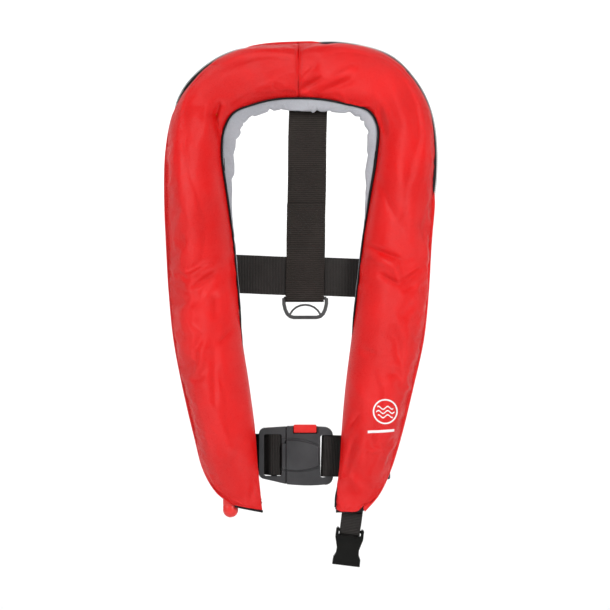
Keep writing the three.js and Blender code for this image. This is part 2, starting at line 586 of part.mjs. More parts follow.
function crotchParts() {
  const { x, y, pivotZ, barZ, width, tilt } = CROTCH;
  const line = [
    [y, pivotZ - 0.5], [y, barZ + 9], [y + 3.4, barZ + 2.6], ...arc(y, barZ, 3.4, 20, -200, 8), [y - 2.2, barZ + 8],
    [y - 2.1, barZ + 22],
  ];
  const stub = extruded(bandOutline(line, 1.5), width, SIDE_VIEW, [x - width / 2, 0, 0]);
  const tab = extruded(bandOutline([[y - 1, pivotZ + 2.4], [y + 1.5, pivotZ + 20], [y + 5, pivotZ + 38]], 1.6), width, SIDE_VIEW, [
    x - width / 2, 0, 0,
  ]);
  const outline = new THREE.Shape();
  outline.moveTo(-16, 3).lineTo(16, 3).lineTo(17, 1).lineTo(17, -9).lineTo(13.5, -22).lineTo(13.8, -28);
  outline.lineTo(16.5, -33).lineTo(16.8, -42).lineTo(-16.8, -42).lineTo(-16.5, -33).lineTo(-13.8, -28);
  outline.lineTo(-13.5, -22).lineTo(-17, -9).lineTo(-17, 1).lineTo(-16, 3);
  const body = extruded(outline, 11, FRONT_VIEW, [0, 5.5, 0]);
  const socket = cut(
    body,
    boxFromTo([-13.4, -8, -5.4], [13.4, 8, -1.6]),
    boxFromTo([-13.4, -8, 1.6], [13.4, 8, 5]),
    boxFromTo([-13.4, -8, -2], [13.4, -1.6, 2]),
    boxFromTo([-13.4, 1.6, -2], [13.4, 8, 2]),
    boxFromTo([-11.6, -3.4, -50], [11.6, 3.4, -12]),
    boxFromTo([-20, -3.4, -30], [20, 3.4, -14]),
  );
  const tilted = (geometry) => geometry.translate(-x, 0, -pivotZ).rotateY(tilt).translate(x, 0, pivotZ);
  return {
    crotch_stub: tilted(stub),
    crotch_tab: tab,
    crotch_socket: tilted(socket.translate(x, y, barZ)),
  };
}

// ---------- materials and the assembly ----------

const finish = (hex, roughness, metalness = 0) =>
  new THREE.MeshStandardMaterial({ color: hex, roughness, metalness });
const RED_CLOTH = finish(0xe0201f, 0.75);
const GREY_CLOTH = finish(0xaeb1b6, 0.8);
const CHARCOAL_CLOTH = finish(0x29292b, 0.8);
const BLACK_TAPE = finish(0x1c1c1e, 0.8);
const BLACK_WEBBING = finish(0x35312e, 0.85);
const YELLOW_BLADDER = finish(0xe8c61c, 0.6);
const SILVER_TAPE = finish(0xd8dbe0, 0.35);
const BLACK_PLASTIC = finish(0x3d3d40, 0.45);
const RED_PLASTIC = finish(0xd2322c, 0.4);
const GREEN_PLASTIC = finish(0x2fae4a, 0.45);
const WHITE_PLASTIC = finish(0xe9e9e6, 0.5);
const STEEL = finish(0xb9bcc0, 0.3, 1);
const BLACK_RUBBER = finish(0x232325, 0.9);

const LOOKS = {
  cover_front_left: RED_CLOTH, cover_front_right: RED_CLOTH, back_panel: CHARCOAL_CLOTH, neck_lining: GREY_CLOTH,
  neck_piping: BLACK_TAPE, zip_tape: BLACK_TAPE, zip_chain: BLACK_PLASTIC, zip_slider: STEEL, zip_pull: STEEL,
  bladder: YELLOW_BLADDER, reflective_tape_left: SILVER_TAPE, reflective_tape_right: SILVER_TAPE,
  inflator_body: BLACK_PLASTIC, co2_cylinder: STEEL, auto_cartridge: WHITE_PLASTIC, cartridge_cap: BLACK_PLASTIC,
  status_clip: GREEN_PLASTIC, piercing_pin: STEEL, firing_lever: RED_PLASTIC,
  pull_handle: RED_PLASTIC, pull_lanyard: BLACK_WEBBING,
  oral_tube: BLACK_RUBBER, oral_valve_body: BLACK_PLASTIC, oral_valve_spring: STEEL, oral_valve_poppet: RED_PLASTIC,
  whistle: WHITE_PLASTIC, whistle_cord: BLACK_WEBBING,
  release_button: RED_PLASTIC, lock_plate: BLACK_PLASTIC, button_spring: STEEL,
  crotch_ring: BLACK_PLASTIC, crotch_socket: BLACK_PLASTIC, buckle_tongue_half: BLACK_PLASTIC,
  receiver_front_shell: BLACK_PLASTIC, receiver_back_shell: BLACK_PLASTIC,
};

// Everything above is drawn about the neck seam's plane. The finished part stands with its origin where the
// lining bears on the neck: the lining's lowest point at the collar's centre.
const NECK_BEARING = envelope(0.5, backTurn(3), -GAP - 1.2);

const jacket = new THREE.Group();
const pieces = {
  ...coverParts(),
  ...zipSliderParts(),
  ...bladderParts(),
  ...inflatorParts(),
  ...handleParts(),
  ...oralParts(),
  ...harnessParts(),
  ...crotchRingParts(),
  ...buckleParts(),
  ...frontBeltParts(),
  ...crotchParts(),
};
for (const [name, geometry] of Object.entries(pieces)) {
  const mesh = new THREE.Mesh(geometry, LOOKS[name] ?? BLACK_WEBBING);
  mesh.name = name;
  mesh.position.copy(NECK_BEARING).negate();
  jacket.add(mesh);
}

export default jacket;
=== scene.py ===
"""The looks of a folded inflatable life jacket that hangs from its collar.

Shapes are drawn in millimetres about the neck seam's plane, as in the part's own drawing, and placed in the
part's frame in metres by placed().
"""

import math

import bmesh
import bpy
import numpy as np
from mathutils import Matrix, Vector
from mathutils.bvhtree import BVHTree


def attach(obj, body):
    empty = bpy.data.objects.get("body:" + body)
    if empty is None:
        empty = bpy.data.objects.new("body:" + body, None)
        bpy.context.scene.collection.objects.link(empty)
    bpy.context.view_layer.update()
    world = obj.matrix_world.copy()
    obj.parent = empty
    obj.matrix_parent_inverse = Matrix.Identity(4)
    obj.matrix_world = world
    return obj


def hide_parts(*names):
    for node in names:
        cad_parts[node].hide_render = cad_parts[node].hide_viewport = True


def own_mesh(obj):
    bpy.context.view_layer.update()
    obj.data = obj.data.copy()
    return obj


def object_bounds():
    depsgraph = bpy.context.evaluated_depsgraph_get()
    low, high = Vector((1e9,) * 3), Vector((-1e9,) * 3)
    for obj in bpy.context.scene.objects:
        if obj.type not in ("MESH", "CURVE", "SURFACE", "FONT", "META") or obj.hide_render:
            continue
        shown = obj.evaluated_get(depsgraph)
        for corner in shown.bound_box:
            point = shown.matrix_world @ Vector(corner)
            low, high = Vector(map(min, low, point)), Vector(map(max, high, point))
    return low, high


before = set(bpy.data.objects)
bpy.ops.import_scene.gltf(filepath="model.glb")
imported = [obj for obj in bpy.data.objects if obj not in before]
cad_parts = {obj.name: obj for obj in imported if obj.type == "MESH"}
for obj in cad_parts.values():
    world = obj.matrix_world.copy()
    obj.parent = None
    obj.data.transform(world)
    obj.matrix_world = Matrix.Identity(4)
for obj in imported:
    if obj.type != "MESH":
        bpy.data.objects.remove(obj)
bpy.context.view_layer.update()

# ---------- driving dimensions, in millimetres ----------

NECK_BEARING = np.array([0, 31.353, 5.66])  # the part's origin in the drawing

# Each side's flat outline from the lobe's tip to the collar's centre: (distance from the centre, z).
OUTER_EDGE = {
    "left": [
        (75.6, -478), (96, -462), (111.8, -435.6), (123.6, -392.4), (137.1, -334.8), (148, -277.2),
        (153.8, -219.6), (157.1, -162), (159.3, -104.4), (157.9, -46.8), (149.2, -1.8), (132, 34.2),
        (96.8, 64), (52.8, 79), (0, 83.4),
    ],
    "right": [
        (77, -485), (94.5, -464), (108, -435.6), (121.5, -392.4), (135.6, -334.8), (148.3, -277.2),
        (154.3, -219.6), (157.7, -162), (162.4, -104.4), (164.4, -46.8), (158.2, -1.8), (141.6, 34.2),
        (111.4, 66), (62, 81.6), (0, 83.4),
    ],
}
INNER_EDGE = {
    "left": [
        (43.5, -485), (46.2, -458.4), (49.2, -428.4), (52.2, -387.6), (59.4, -332.4), (68.2, -274.8),
        (73.6, -217.2), (79.2, -159.6), (86.7, -104.4), (93.4, -55.2), (91, -24), (79.6, -3.4),
        (57, 6.9), (28.8, 14.1), (0, 15.6),
    ],
    "right": [
        (45, -485), (46, -458.4), (49.5, -428.4), (51.9, -387.6), (56.7, -332.4), (63.9, -274.8),
        (71.4, -217.2), (77.9, -159.6), (86.7, -104.4), (95, -55.2), (96.2, -19), (86, -1),
        (57, 8.2), (28.8, 14.1), (0, 15.6),
    ],
}
LOBE_BULGE = {1: 32, -1: 13}
COLLAR_BULGE = {1: 22, -1: 14}
TIP_BULGE = {1: 4, -1: 3}
LENS_POWER = 1.24
NECK_ROLL = 18
NECK_SEAM_RISE = 6
LEAN_FROM_Z = -120
LEAN_RATE = 0.0009

WEBBING_WIDTH = 47
WEBBING = 1.8  # thickness
BELT_IN_BUCKLE = 50  # the front belt's width, which fills the buckle's slots
STRAP_X = 8
STRAP_Y = 34.5
STRAP_GAP = 9
LOOP_Z = -226.3
BELT_Z = -200
WAIST = np.array([-15, 23, -418])

CAMERA_DISTANCE = 2.5  # metres in front of the lobes
CAMERA_AIM = (0.0078, -0.2407)
FRAME_WIDTH = 0.732  # metres seen across at the lobes

# ---------- placing and small mesh tools ----------


def placed(points):
    """Drawing millimetres to the part's frame in metres."""
    return (np.asarray(points, float) - NECK_BEARING) * 0.001


def ramp(value, low, high):
    t = np.clip((np.asarray(value, float) - low) / (high - low), 0, 1)
    return t * t * (3 - 2 * t)


def unit(vectors):
    vectors = np.asarray(vectors, float)
    return vectors / np.maximum(np.linalg.norm(vectors, axis=-1, keepdims=True), 1e-9)


def mesh_piece(name, points, faces, uv=None):
    """A smooth-shaded mesh from drawing points and faces. uv gives each point's place on its cloth, in mm."""
    mesh = bpy.data.meshes.new(name)
    mesh.from_pydata([tuple(p) for p in placed(points)], [], [tuple(f) for f in faces])
    if uv is not None:
        layer = mesh.uv_layers.new(name="cloth_mm")
        loops = np.zeros(len(mesh.loops), np.int32)
        mesh.loops.foreach_get("vertex_index", loops)
        layer.data.foreach_set("uv", np.asarray(uv, np.float32)[loops].ravel())
    mesh.polygons.foreach_set("use_smooth", [True] * len(mesh.polygons))
    mesh.update()
    piece = bpy.data.objects.new(name, mesh)
    bpy.context.scene.collection.objects.link(piece)
    return piece


def grid_faces(rows, columns):
    return [
        (i * columns + j, (i + 1) * columns + j, (i + 1) * columns + j + 1, i * columns + j + 1)
        for i in range(rows - 1)
        for j in range(columns - 1)
    ]


def ring_faces(rings, count):
    """Faces between closed rings of count points, with both ends closed."""
    faces = [
        (i * count + j, (i + 1) * count + j, (i + 1) * count + (j + 1) % count, i * count + (j + 1) % count)
        for i in range(rings - 1)
        for j in range(count)
    ]
    return faces + [tuple(range(count)), tuple(reversed(range((rings - 1) * count, rings * count)))]


def face_outwards(piece):
    work = bmesh.new()
    work.from_mesh(piece.data)
    bmesh.ops.recalc_face_normals(work, faces=work.faces)
    work.to_mesh(piece.data)
    work.free()


def bake_modifiers(piece):
    """Applies the piece's modifiers to its mesh."""
    evaluated = piece.evaluated_get(bpy.context.evaluated_depsgraph_get())
    mesh = bpy.data.meshes.new_from_object(evaluated)
    piece.modifiers.clear()
    piece.data = mesh
    return piece


def subdivided(piece, levels=1):
    piece.modifiers.new("Subdivision", "SUBSURF").levels = levels
    return bake_modifiers(piece)


def thickened(piece, thickness):
    """Gives a sheet its thickness, behind its drawn face."""
    solid = piece.modifiers.new("Solidify", "SOLIDIFY")
    solid.thickness = thickness * 0.001
    solid.offset = -1
    return bake_modifiers(piece)


def finish_piece(piece, material, body, slot, *nodes):
    """Gives a piece its material, the body it moves with and the CAD nodes it stands for; slot is not used.
    """
    piece.data.materials.clear()
    piece.data.materials.append(material)
    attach(piece, body)
    if nodes:
        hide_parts(*nodes)
    return piece


def resampled(line, step):
    """A smooth line through rounded corners, with points about step apart."""
    line = np.asarray(line, float)
    for _ in range(2):
        cut = np.empty((2 * len(line) - 2, line.shape[1]))
        cut[0::2] = 0.75 * line[:-1] + 0.25 * line[1:]
        cut[1::2] = 0.25 * line[:-1] + 0.75 * line[1:]
        line = np.vstack([line[:1], cut[1:-1] if len(cut) > 2 else cut, line[-1:]])
    lengths = np.r_[0, np.cumsum(np.linalg.norm(np.diff(line, axis=0), axis=1))]
    stations = np.linspace(0, lengths[-1], max(2, int(lengths[-1] / step) + 1))
    return np.column_stack([np.interp(stations, lengths, line[:, k]) for k in range(line.shape[1])]), stations


def oval(a, b, radius_a, radius_b, start, end, steps):
    angles = np.radians(np.linspace(start, end, steps + 1))
    return [(a + radius_a * math.cos(x), b + radius_b * math.sin(x)) for x in angles]


def arc(a, b, radius, start, end, steps):
    return oval(a, b, radius, radius, start, end, steps)


# ---------- the jacket's envelope ----------


def smooth_edge(edge):
    """The centripetal curve through an edge's points, from the left tip over the collar to the right tip."""
    points = np.array([(-x, z) for x, z in edge["left"]] + edge["right"][:-1][::-1], float)
    ends = [2 * points[0] - points[1]], [2 * points[-1] - points[-2]]
    padded = np.vstack([ends[0], points, ends[1]])

    def at(t):
        place = np.asarray(t, float) * (len(points) - 1)
        index = np.clip(np.floor(place).astype(int), 0, len(points) - 2)
        weight = (place - index)[..., None]
        p0, p1, p2, p3 = (padded[index + k] for k in range(4))
        d0, d1, d2 = (
            np.maximum(np.linalg.norm(b - a, axis=-1, keepdims=True) ** 0.5, 1e-6)
            for a, b in ((p0, p1), (p1, p2), (p2, p3))
        )
        slope1 = ((p1 - p0) / d0 - (p2 - p0) / (d0 + d1) + (p2 - p1) / d1) * d1
        slope2 = ((p2 - p1) / d1 - (p3 - p1) / (d1 + d2) + (p3 - p2) / d2) * d1
        square = -3 * p1 + 3 * p2 - 2 * slope1 - slope2
        cube = 2 * p1 - 2 * p2 + slope1 + slope2
        return p1 + slope1 * weight + square * weight**2 + cube * weight**3

    return at


outer_edge = smooth_edge(OUTER_EDGE)
inner_edge = smooth_edge(INNER_EDGE)


def bulge(z, side):
    body = LOBE_BULGE[side] + (COLLAR_BULGE[side] - LOBE_BULGE[side]) * ramp(z, -120, 10)
    full = -405 if side > 0 else -430
    return TIP_BULGE[side] + (body - TIP_BULGE[side]) * ramp(z, -482, full)


def envelope(t, turn, inset=0.0, roll=1.0):
    """Points on the jacket's skin: t runs along the horseshoe, turn round its section in half turns."""
    t, turn = np.broadcast_arrays(np.asarray(t, float), np.asarray(turn, float))
    outer, inner = outer_edge(t), inner_edge(t)
    middle = (outer + inner) / 2
    outward = unit(outer - inner)
    half = np.linalg.norm(outer - inner, axis=-1) / 2
    z = middle[..., 1]
    slope = 2 * LEAN_RATE * np.maximum(0, z - LEAN_FROM_Z)
    neck = ramp(z, -150, -60)
    angle = turn * math.pi
    u = np.cos(angle)
    front = turn <= 1
    side = np.where(front, 1.0, -1.0)
    height = np.where(front, bulge(z, 1), bulge(z, -1))
    wall = np.abs(np.sin(angle)) ** LENS_POWER
    across = (half - inset) * u
    out = side * (height - inset) * wall + NECK_SEAM_RISE * neck * (1 - u) / 2 + side * 0.35
    rolled = (turn > 1) & (turn < 1.5)
    swell = np.abs(np.sin((turn - 1) * 2 * math.pi)) ** 0.8
    across = across - np.where(rolled, NECK_ROLL * neck * swell * roll, 0)
    scale = 1 / np.sqrt(1 + slope**2)
    lean = LEAN_RATE * np.maximum(0, z - LEAN_FROM_Z) ** 2
    x = middle[..., 0] + outward[..., 0] * across
    y = lean - out * scale
    height_z = z + outward[..., 1] * across + out * slope * scale
    return np.stack([x, y, height_z], axis=-1)


def edge_frame(t):
    """The outer edge at stations t, and its outward direction."""
    edge = envelope(t, np.zeros_like(t))
    outward = edge - envelope(t, np.ones_like(t))
    outward[..., 1] = 0
    return edge, unit(outward)


# ---------- cloth ----------


def settle_cloth(piece, pins, pressure, growth, cap, sink=0.5, frames=18):
    """Lets a pinned sheet buckle and swell as cloth, and keeps the shape it ends in.

    A point moves at most cap mm, and at most sink mm inwards.
    """
    group = piece.vertex_groups.new(name="pinned")
    for weight in sorted(set(pins)):
        group.add([i for i, w in enumerate(pins) if w == weight], float(weight), "REPLACE")
    cloth = piece.modifiers.new("Cloth", "CLOTH")
    settings = cloth.settings
    settings.quality = 5
    settings.mass = 0.12
    settings.tension_stiffness = 18
    settings.compression_stiffness = 12
    settings.shear_stiffness = 6
    settings.bending_stiffness = 0.25
    settings.use_pressure = True
    settings.uniform_pressure_force = pressure
    settings.shrink_min = -growth
    settings.vertex_group_mass = "pinned"
    settings.effector_weights.gravity = 0
    cloth.collision_settings.use_self_collision = False
    cloth.point_cache.frame_start = 1
    cloth.point_cache.frame_end = frames
    for number in range(1, frames + 1):
        bpy.context.scene.frame_set(number)
    count = len(piece.data.vertices)
    start = np.zeros(count * 3, np.float32)
    end = np.zeros(count * 3, np.float32)
    piece.data.vertices.foreach_get("co", start)
    settled = piece.evaluated_get(bpy.context.evaluated_depsgraph_get())
    settled.data.vertices.foreach_get("co", end)
    move = (end - start).reshape(-1, 3)
    size = np.linalg.norm(move, axis=1, keepdims=True)
    move *= np.minimum(1, cap * 0.001 / np.maximum(size, 1e-9))
    normals = np.zeros(count * 3, np.float32)
    piece.data.vertices.foreach_get("normal", normals)
    normals = normals.reshape(-1, 3)
    inwards = np.sum(move * normals, axis=1, keepdims=True)
    move += normals * np.maximum(0, -sink * 0.001 - inwards)
    piece.modifiers.clear()
    piece.vertex_groups.clear()
    piece.data.vertices.foreach_set("co", (start.reshape(-1, 3) + move).astype(np.float32).ravel())
    piece.data.update()
    bpy.context.scene.frame_set(1)
    return piece


def folds(points, creases):
    """How far creases raise each point: ((x0, z0), (x1, z1), half width, height), fading at both ends."""
    x, z = points[..., 0], points[..., 2]
    raised = np.zeros(x.shape)
    for (x0, z0), (x1, z1), width, height in creases:
        length = math.hypot(x1 - x0, z1 - z0)
        along = ((x - x0) * (x1 - x0) + (z - z0) * (z1 - z0)) / length**2
        off = ((x - x0) * (z1 - z0) - (z - z0) * (x1 - x0)) / length
        taper = ramp(along, -0.25, 0.3) * ramp(-along, -1.25, -0.7)
        raised += height * taper * np.exp(-((off / width) ** 2))
    return raised


# Creases in the cover: valleys have a negative height.
LEFT_CREASES = [
    ((-94, 9), (-100, -9), 3.4, -5.5), ((-100, -4), (-94, -33), 3.4, -5.5),
    ((-109, 8), (-109, -38), 7, 2.8), ((-84, 2), (-62, 17), 4, -1.8), ((-112, 46), (-138, 4), 9, 1.8),
    ((-24, 46), (-70, 42), 10, 1.4), ((-40, 70), (-92, 52), 6, -1.4), ((-140, -60), (-128, -150), 14, 1.4),
    ((-92, -104), (-116, -150), 9, -1.8), ((-90, -182), (-124, -199), 6, 3.0),
    ((-98, -198), (-122, -213), 3.6, -3.8), ((-88, -210), (-118, -234), 7, 2.6),
    ((-100, -222), (-98, -250), 5, -2.6), ((-84, -196), (-80, -260), 4, 1.8),
    ((-78, -264), (-93, -281), 3.4, -2.8), ((-109, -281), (-116, -316), 6, 2.6),
    ((-100, -277), (-96, -350), 6, -2.4), ((-120, -330), (-104, -400), 10, 1.6),
    ((-64, -392), (-86, -440), 7, -1.8), ((-51, -436), (-58, -472), 4, -2.6),
]
RIGHT_CREASES = [
    ((-2, 28), (21, 53), 4.5, 3.4), ((4, 26), (25, 39), 3.6, -4.2), ((1, 21), (14, 22), 3, 2.2),
    ((28, 24), (64, 36), 4, -3.0), ((42, 37), (67, 51), 5, 3.0), ((49, 23), (59, 9), 4, 2.2),
    ((16, 17), (38, 19), 3, -2.0), ((92, 20), (112, -17), 6, 2.6), ((98, 5), (105, -32), 3.6, -4.0),
    ((112, 26), (133, -32), 8, 2.0), ((118, -60), (132, -140), 10, 2.0), ((92, -76), (112, -128), 5, -2.0),
    ((83, -165), (119, -180), 3.2, -4.6), ((85, -176), (114, -189), 5, 3.2),
    ((96, -198), (119, -210), 3.6, -4.0), ((112, -184), (119, -209), 3.2, 2.6),
    ((119, -211), (141, -191), 3.4, -3.4), ((140, -200), (150, -120), 7, -1.2),
    ((128, -260), (121, -320), 5, 2.4), ((112, -264), (116, -302), 5, -2.0),
    ((74, -289), (90, -294), 2.8, -3.4), ((64, -330), (82, -354), 6, 2.0),
    ((71, -366), (56, -391), 3.8, -3.0), ((65, -396), (56, -436), 4.2, -3.6),
    ((77, -390), (70, -432), 5, 2.4), ((60, -440), (76, -459), 5, 1.8),
]

COVER_ROWS = 280
COVER_COLUMNS = 46
# The flap that wraps the cover's outer edge over the zip: (outwards, backwards) from the edge.
FLAP = [(3.0, 6.0), (3.4, 3.0), (3.2, 0.2), (2.0, -2.0)]


def flap_amount(t):
    """1 where the flap hides the zip, and 0 over the shoulders, where the zip shows."""
    left = ramp(t, 0.352, 0.372) * ramp(-t, -0.462, -0.445)
    right = ramp(t, 0.508, 0.522) * ramp(-t, -0.722, -0.7)
    return 1 - left - right


def peel(t):
    """How far the cover's edge is drawn back from the zip, in mm."""
    return 1.4 * (1 - flap_amount(t)) + 6.5 * np.exp(-(((t - 0.396) / 0.016) ** 2))


def cover_points(side):
    """One half of the cover's front, from the lobe's tip to the collar's seam, with its flap over the zip."""
    t = np.linspace(0.0035 if side < 0 else 0.001, 0.5, COVER_ROWS)
    if side > 0:
        t = 1 - t
    turn = np.linspace(0.015, 1.0, COVER_COLUMNS)
    points = envelope(t[:, None], turn[None, :])
    creases = LEFT_CREASES if side < 0 else RIGHT_CREASES
    inside = np.sin(turn * math.pi)[None, :] ** 0.5
    points[..., 1] -= folds(points, creases) * inside
    seam = np.abs(points[..., 0])
    points[..., 1] += 1.6 * np.exp(-((seam / 2.2) ** 2)) * (points[..., 2] > 0)

    if side > 0:
        corner = ramp(points[..., 0], 66, 80) ** 2 * 7 + ramp(-points[..., 0], -52, -44) * 3
        points[..., 2] += corner * ramp(-points[..., 2], 472, 484)

    edge, outward = edge_frame(t)
    drawn_back = peel(t)[:, None] * np.clip(1 - turn / 0.3, 0, 1)[None, :]
    points -= outward[:, None] * drawn_back[..., None]
    amount = flap_amount(t)[:, None]
    hem = [
        points[:, 0] + (outward * out + np.array([0, back, 0]) + edge - points[:, 0]) * amount
        + (1 - amount) * np.array([0, 0.4 * (len(FLAP) - k), 0])
        for k, (out, back) in enumerate(FLAP)
    ]
    return np.concatenate([np.stack(hem, axis=1), points], axis=1)


def cloth_uv(points):
    """Each grid point's place on its cloth: mm across and mm along, measured over the surface."""
    across = np.zeros(points.shape[:2])
    along = np.zeros(points.shape[:2])
    across[:, 1:] = np.cumsum(np.linalg.norm(np.diff(points, axis=1), axis=2), axis=1)
    centre = points[:, points.shape[1] // 2]
    along += np.r_[0, np.cumsum(np.linalg.norm(np.diff(centre, axis=0), axis=1))][:, None]
    return np.stack([across, along], axis=-1).reshape(-1, 2)


def edge_pins(rows, columns, hem=1):
    """Pins a sheet's four edges. hem is how many columns are held at its first side."""
    pins = np.zeros((rows, columns))
    pins[:, :hem] = 1
    pins[:, -1] = 1
    pins[0] = 1
    pins[-1] = 1
    return pins.ravel()


def grid_piece(name, points):
    rows, columns = points.shape[:2]
    return mesh_piece(name, points.reshape(-1, 3), grid_faces(rows, columns), cloth_uv(points))


def facing(piece, direction):
    """Turns a sheet's faces so that most of them look along direction."""
    look = Vector(direction)
    total = sum((f.normal.dot(look) * f.area for f in piece.data.polygons), 0.0)
    if total < 0:
        piece.data.flip_normals()
    return piece


def grid_line(piece, indices):
    """The drawing points of a piece's vertices."""
    points = np.array([piece.data.vertices[int(i)].co for i in indices])
    return points * 1000 + NECK_BEARING


def make_cover(side):
    name = "cover_left" if side < 0 else "cover_right"
    points = cover_points(side)
    rows, columns = points.shape[:2]
    hem = len(FLAP)
    piece = facing(grid_piece(name, points), (0, -1, 0))
    settle_cloth(piece, edge_pins(rows, columns, hem + 1), 0.6, 0.03, 5)
    number = np.arange(rows * columns).reshape(rows, columns)
    lines = {
        "outer": grid_line(piece, number[3:-2, hem + 2]),
        "seam": grid_line(piece, number[-3, hem + 1 : -1]),
        "tip": grid_line(piece, number[3, hem + 2 : -2]),
    }
    subdivided(piece)
    return thickened(piece, 0.9), lines


# ---------- stitching ----------

STITCH = {"pitch": 3.4, "length": 2.5, "radius": 0.3}


def stitches(name, lines, lift, pitch=None):
    """Rows of thread stitches along lines of drawing points, raised by lift."""
    pitch = pitch or STITCH["pitch"]
    radius, half = STITCH["radius"], STITCH["length"] / 2 * (pitch / STITCH["pitch"])
    points, faces = [], []
    for line in lines:
        line = np.asarray(line, float) + np.asarray(lift, float)
        lengths = np.r_[0, np.cumsum(np.linalg.norm(np.diff(line, axis=0), axis=1))]
        for station in np.arange(pitch / 2, lengths[-1], pitch):
            ends = [
                np.array([np.interp(s, lengths, line[:, k]) for k in range(3)])
                for s in (station - half, station + half)
            ]
            along = unit(ends[1] - ends[0])
            side = unit(np.cross(along, [0.123, 0.87, 0.31]))
            up = np.cross(along, side)
            base = len(points)
            points.append(ends[0])
            for share in (0.22, 0.78):
                centre = ends[0] + (ends[1] - ends[0]) * share
                for k in range(6):
                    angle = k * math.pi / 3
                    points.append(centre + radius * (math.cos(angle) * side + math.sin(angle) * up))
            points.append(ends[1])
            for k in range(6):
                n = (k + 1) % 6
                faces.append((base, base + 1 + n, base + 1 + k))
                faces.append((base + 1 + k, base + 1 + n, base + 7 + n, base + 7 + k))
                faces.append((base + 7 + k, base + 7 + n, base + 13))
    piece = mesh_piece(name, points, faces)
    face_outwards(piece)
    return piece


# ---------- webbing ----------


def ribbon(name, line, across, width=WEBBING_WIDTH, thickness=WEBBING, step=2.0, ripple=0.25):
    """A band of webbing along a line of drawing points. across is the direction of its width."""
    centre, stations = resampled(line, step)
    across = unit(across)
    along = unit(np.gradient(centre, axis=0))
    normal = unit(np.cross(along, across))
    half, edge = width / 2, thickness / 2
    section = []
    for sign in (1, -1):
        flat = np.linspace(-1, 1, 9) * (half - edge) * sign
        section += [(a, edge * sign) for a in flat]
        section += [
            (sign * (half - edge + edge * math.cos(b)), sign * edge * math.sin(b))
            for b in (1.0, 0.3, -0.3, -1.0)
        ]
    points, uv = [], []
    for c, s, n in zip(centre, stations, normal):
        wave = ripple * math.sin(s / 17.0 + len(name))
        for a, b in section:
            points.append(c + across * (a + wave) + n * b)
            uv.append((s, a))
    piece = mesh_piece(name, points, ring_faces(len(centre), len(section)), uv)
    face_outwards(piece)
    return piece


# ---------- moulded pieces, softened from the CAD's own shape ----------


def moulded(name, node, voxel, smooth=4, keep=0.35):
    """The CAD node's shape with its edges rounded, as a mould leaves them."""
    piece = bpy.data.objects.new(name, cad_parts[node].data.copy())
    bpy.context.scene.collection.objects.link(piece)
    remesh = piece.modifiers.new("Remesh", "REMESH")
    remesh.mode = "VOXEL"
    remesh.voxel_size = voxel * 0.001
    remesh.use_smooth_shade = True
    soften = piece.modifiers.new("Smooth", "SMOOTH")
    soften.factor = 0.5
    soften.iterations = smooth
    if keep < 1:
        piece.modifiers.new("Decimate", "DECIMATE").ratio = keep
    bake_modifiers(piece)
    piece.data.polygons.foreach_set("use_smooth", [True] * len(piece.data.polygons))
    return piece


# ---------- materials ----------


def srgb(red, green, blue):
    """A display colour, 0 to 255, as the shader's linear colour."""
    values = [c / 255 for c in (red, green, blue)]
    return tuple(v / 12.92 if v <= 0.04045 else ((v + 0.055) / 1.055) ** 2.4 for v in values) + (1.0,)


class Nodes:
    """A short way to write a material's node tree."""

    def __init__(self, name):
        self.material = bpy.data.materials.new(name)
        self.material.use_nodes = True
        self.tree = self.material.node_tree
        self.tree.nodes.clear()
        self.shader = self.add("ShaderNodeBsdfPrincipled")
        output = self.add("ShaderNodeOutputMaterial")
        self.link(self.shader.outputs[0], output.inputs[0])

    def add(self, kind, **values):
        node = self.tree.nodes.new(kind)
        for key, value in values.items():
            setattr(node, key, value)
        return node

    def link(self, source, target):
        self.tree.links.new(source, target)

    def feed(self, target, value):
        if hasattr(value, "is_output"):
            self.link(value, target)
        else:
            target.default_value = value

    def maths(self, operation, a, b=0.0, c=0.0):
        node = self.add("ShaderNodeMath", operation=operation)
        for target, value in zip(node.inputs, (a, b, c)):
            self.feed(target, value)
        return node.outputs[0]

    def place(self):
        return self.add("ShaderNodeTexCoord").outputs["Object"]

    def cloth(self):
        """The two coordinates on the cloth, in mm."""
        split = self.add("ShaderNodeSeparateXYZ")
        self.link(self.add("ShaderNodeUVMap", uv_map="cloth_mm").outputs[0], split.inputs[0])
        return split.outputs[0], split.outputs[1]

    def noise(self, scale, detail=4.0, rough=0.55, vector=None):
        node = self.add("ShaderNodeTexNoise")
        node.inputs["Scale"].default_value = scale
        node.inputs["Detail"].default_value = detail
        node.inputs["Roughness"].default_value = rough
        self.link(vector or self.place(), node.inputs["Vector"])
        return node.outputs["Fac"]

    def spread(self, value, low, high, to_low, to_high):
        node = self.add("ShaderNodeMapRange")
        for target, number in zip(list(node.inputs)[:5], (value, low, high, to_low, to_high)):
            self.feed(target, number)
        return node.outputs[0]

    def mix(self, factor, first, second, blend="MIX"):
        node = self.add("ShaderNodeMix", data_type="RGBA", blend_type=blend)
        self.feed(node.inputs[0], factor)
        self.feed(node.inputs[6], first)
        self.feed(node.inputs[7], second)
        return node.outputs[2]

    def bump(self, height, distance, strength=1.0, below=None):
        node = self.add("ShaderNodeBump")
        node.inputs["Distance"].default_value = distance * 0.001
        node.inputs["Strength"].default_value = strength
        self.link(height, node.inputs["Height"])
        if below is not None:
            self.link(below, node.inputs["Normal"])
        return node.outputs[0]

    def finish(self, colour, roughness, normal=None, **sockets):
        self.feed(self.shader.inputs["Base Color"], colour)
        self.feed(self.shader.inputs["Roughness"], roughness)
        if normal is not None:
            self.link(normal, self.shader.inputs["Normal"])
        for key, value in sockets.items():
            self.shader.inputs[key.replace("_", " ")].default_value = value
        return self.material


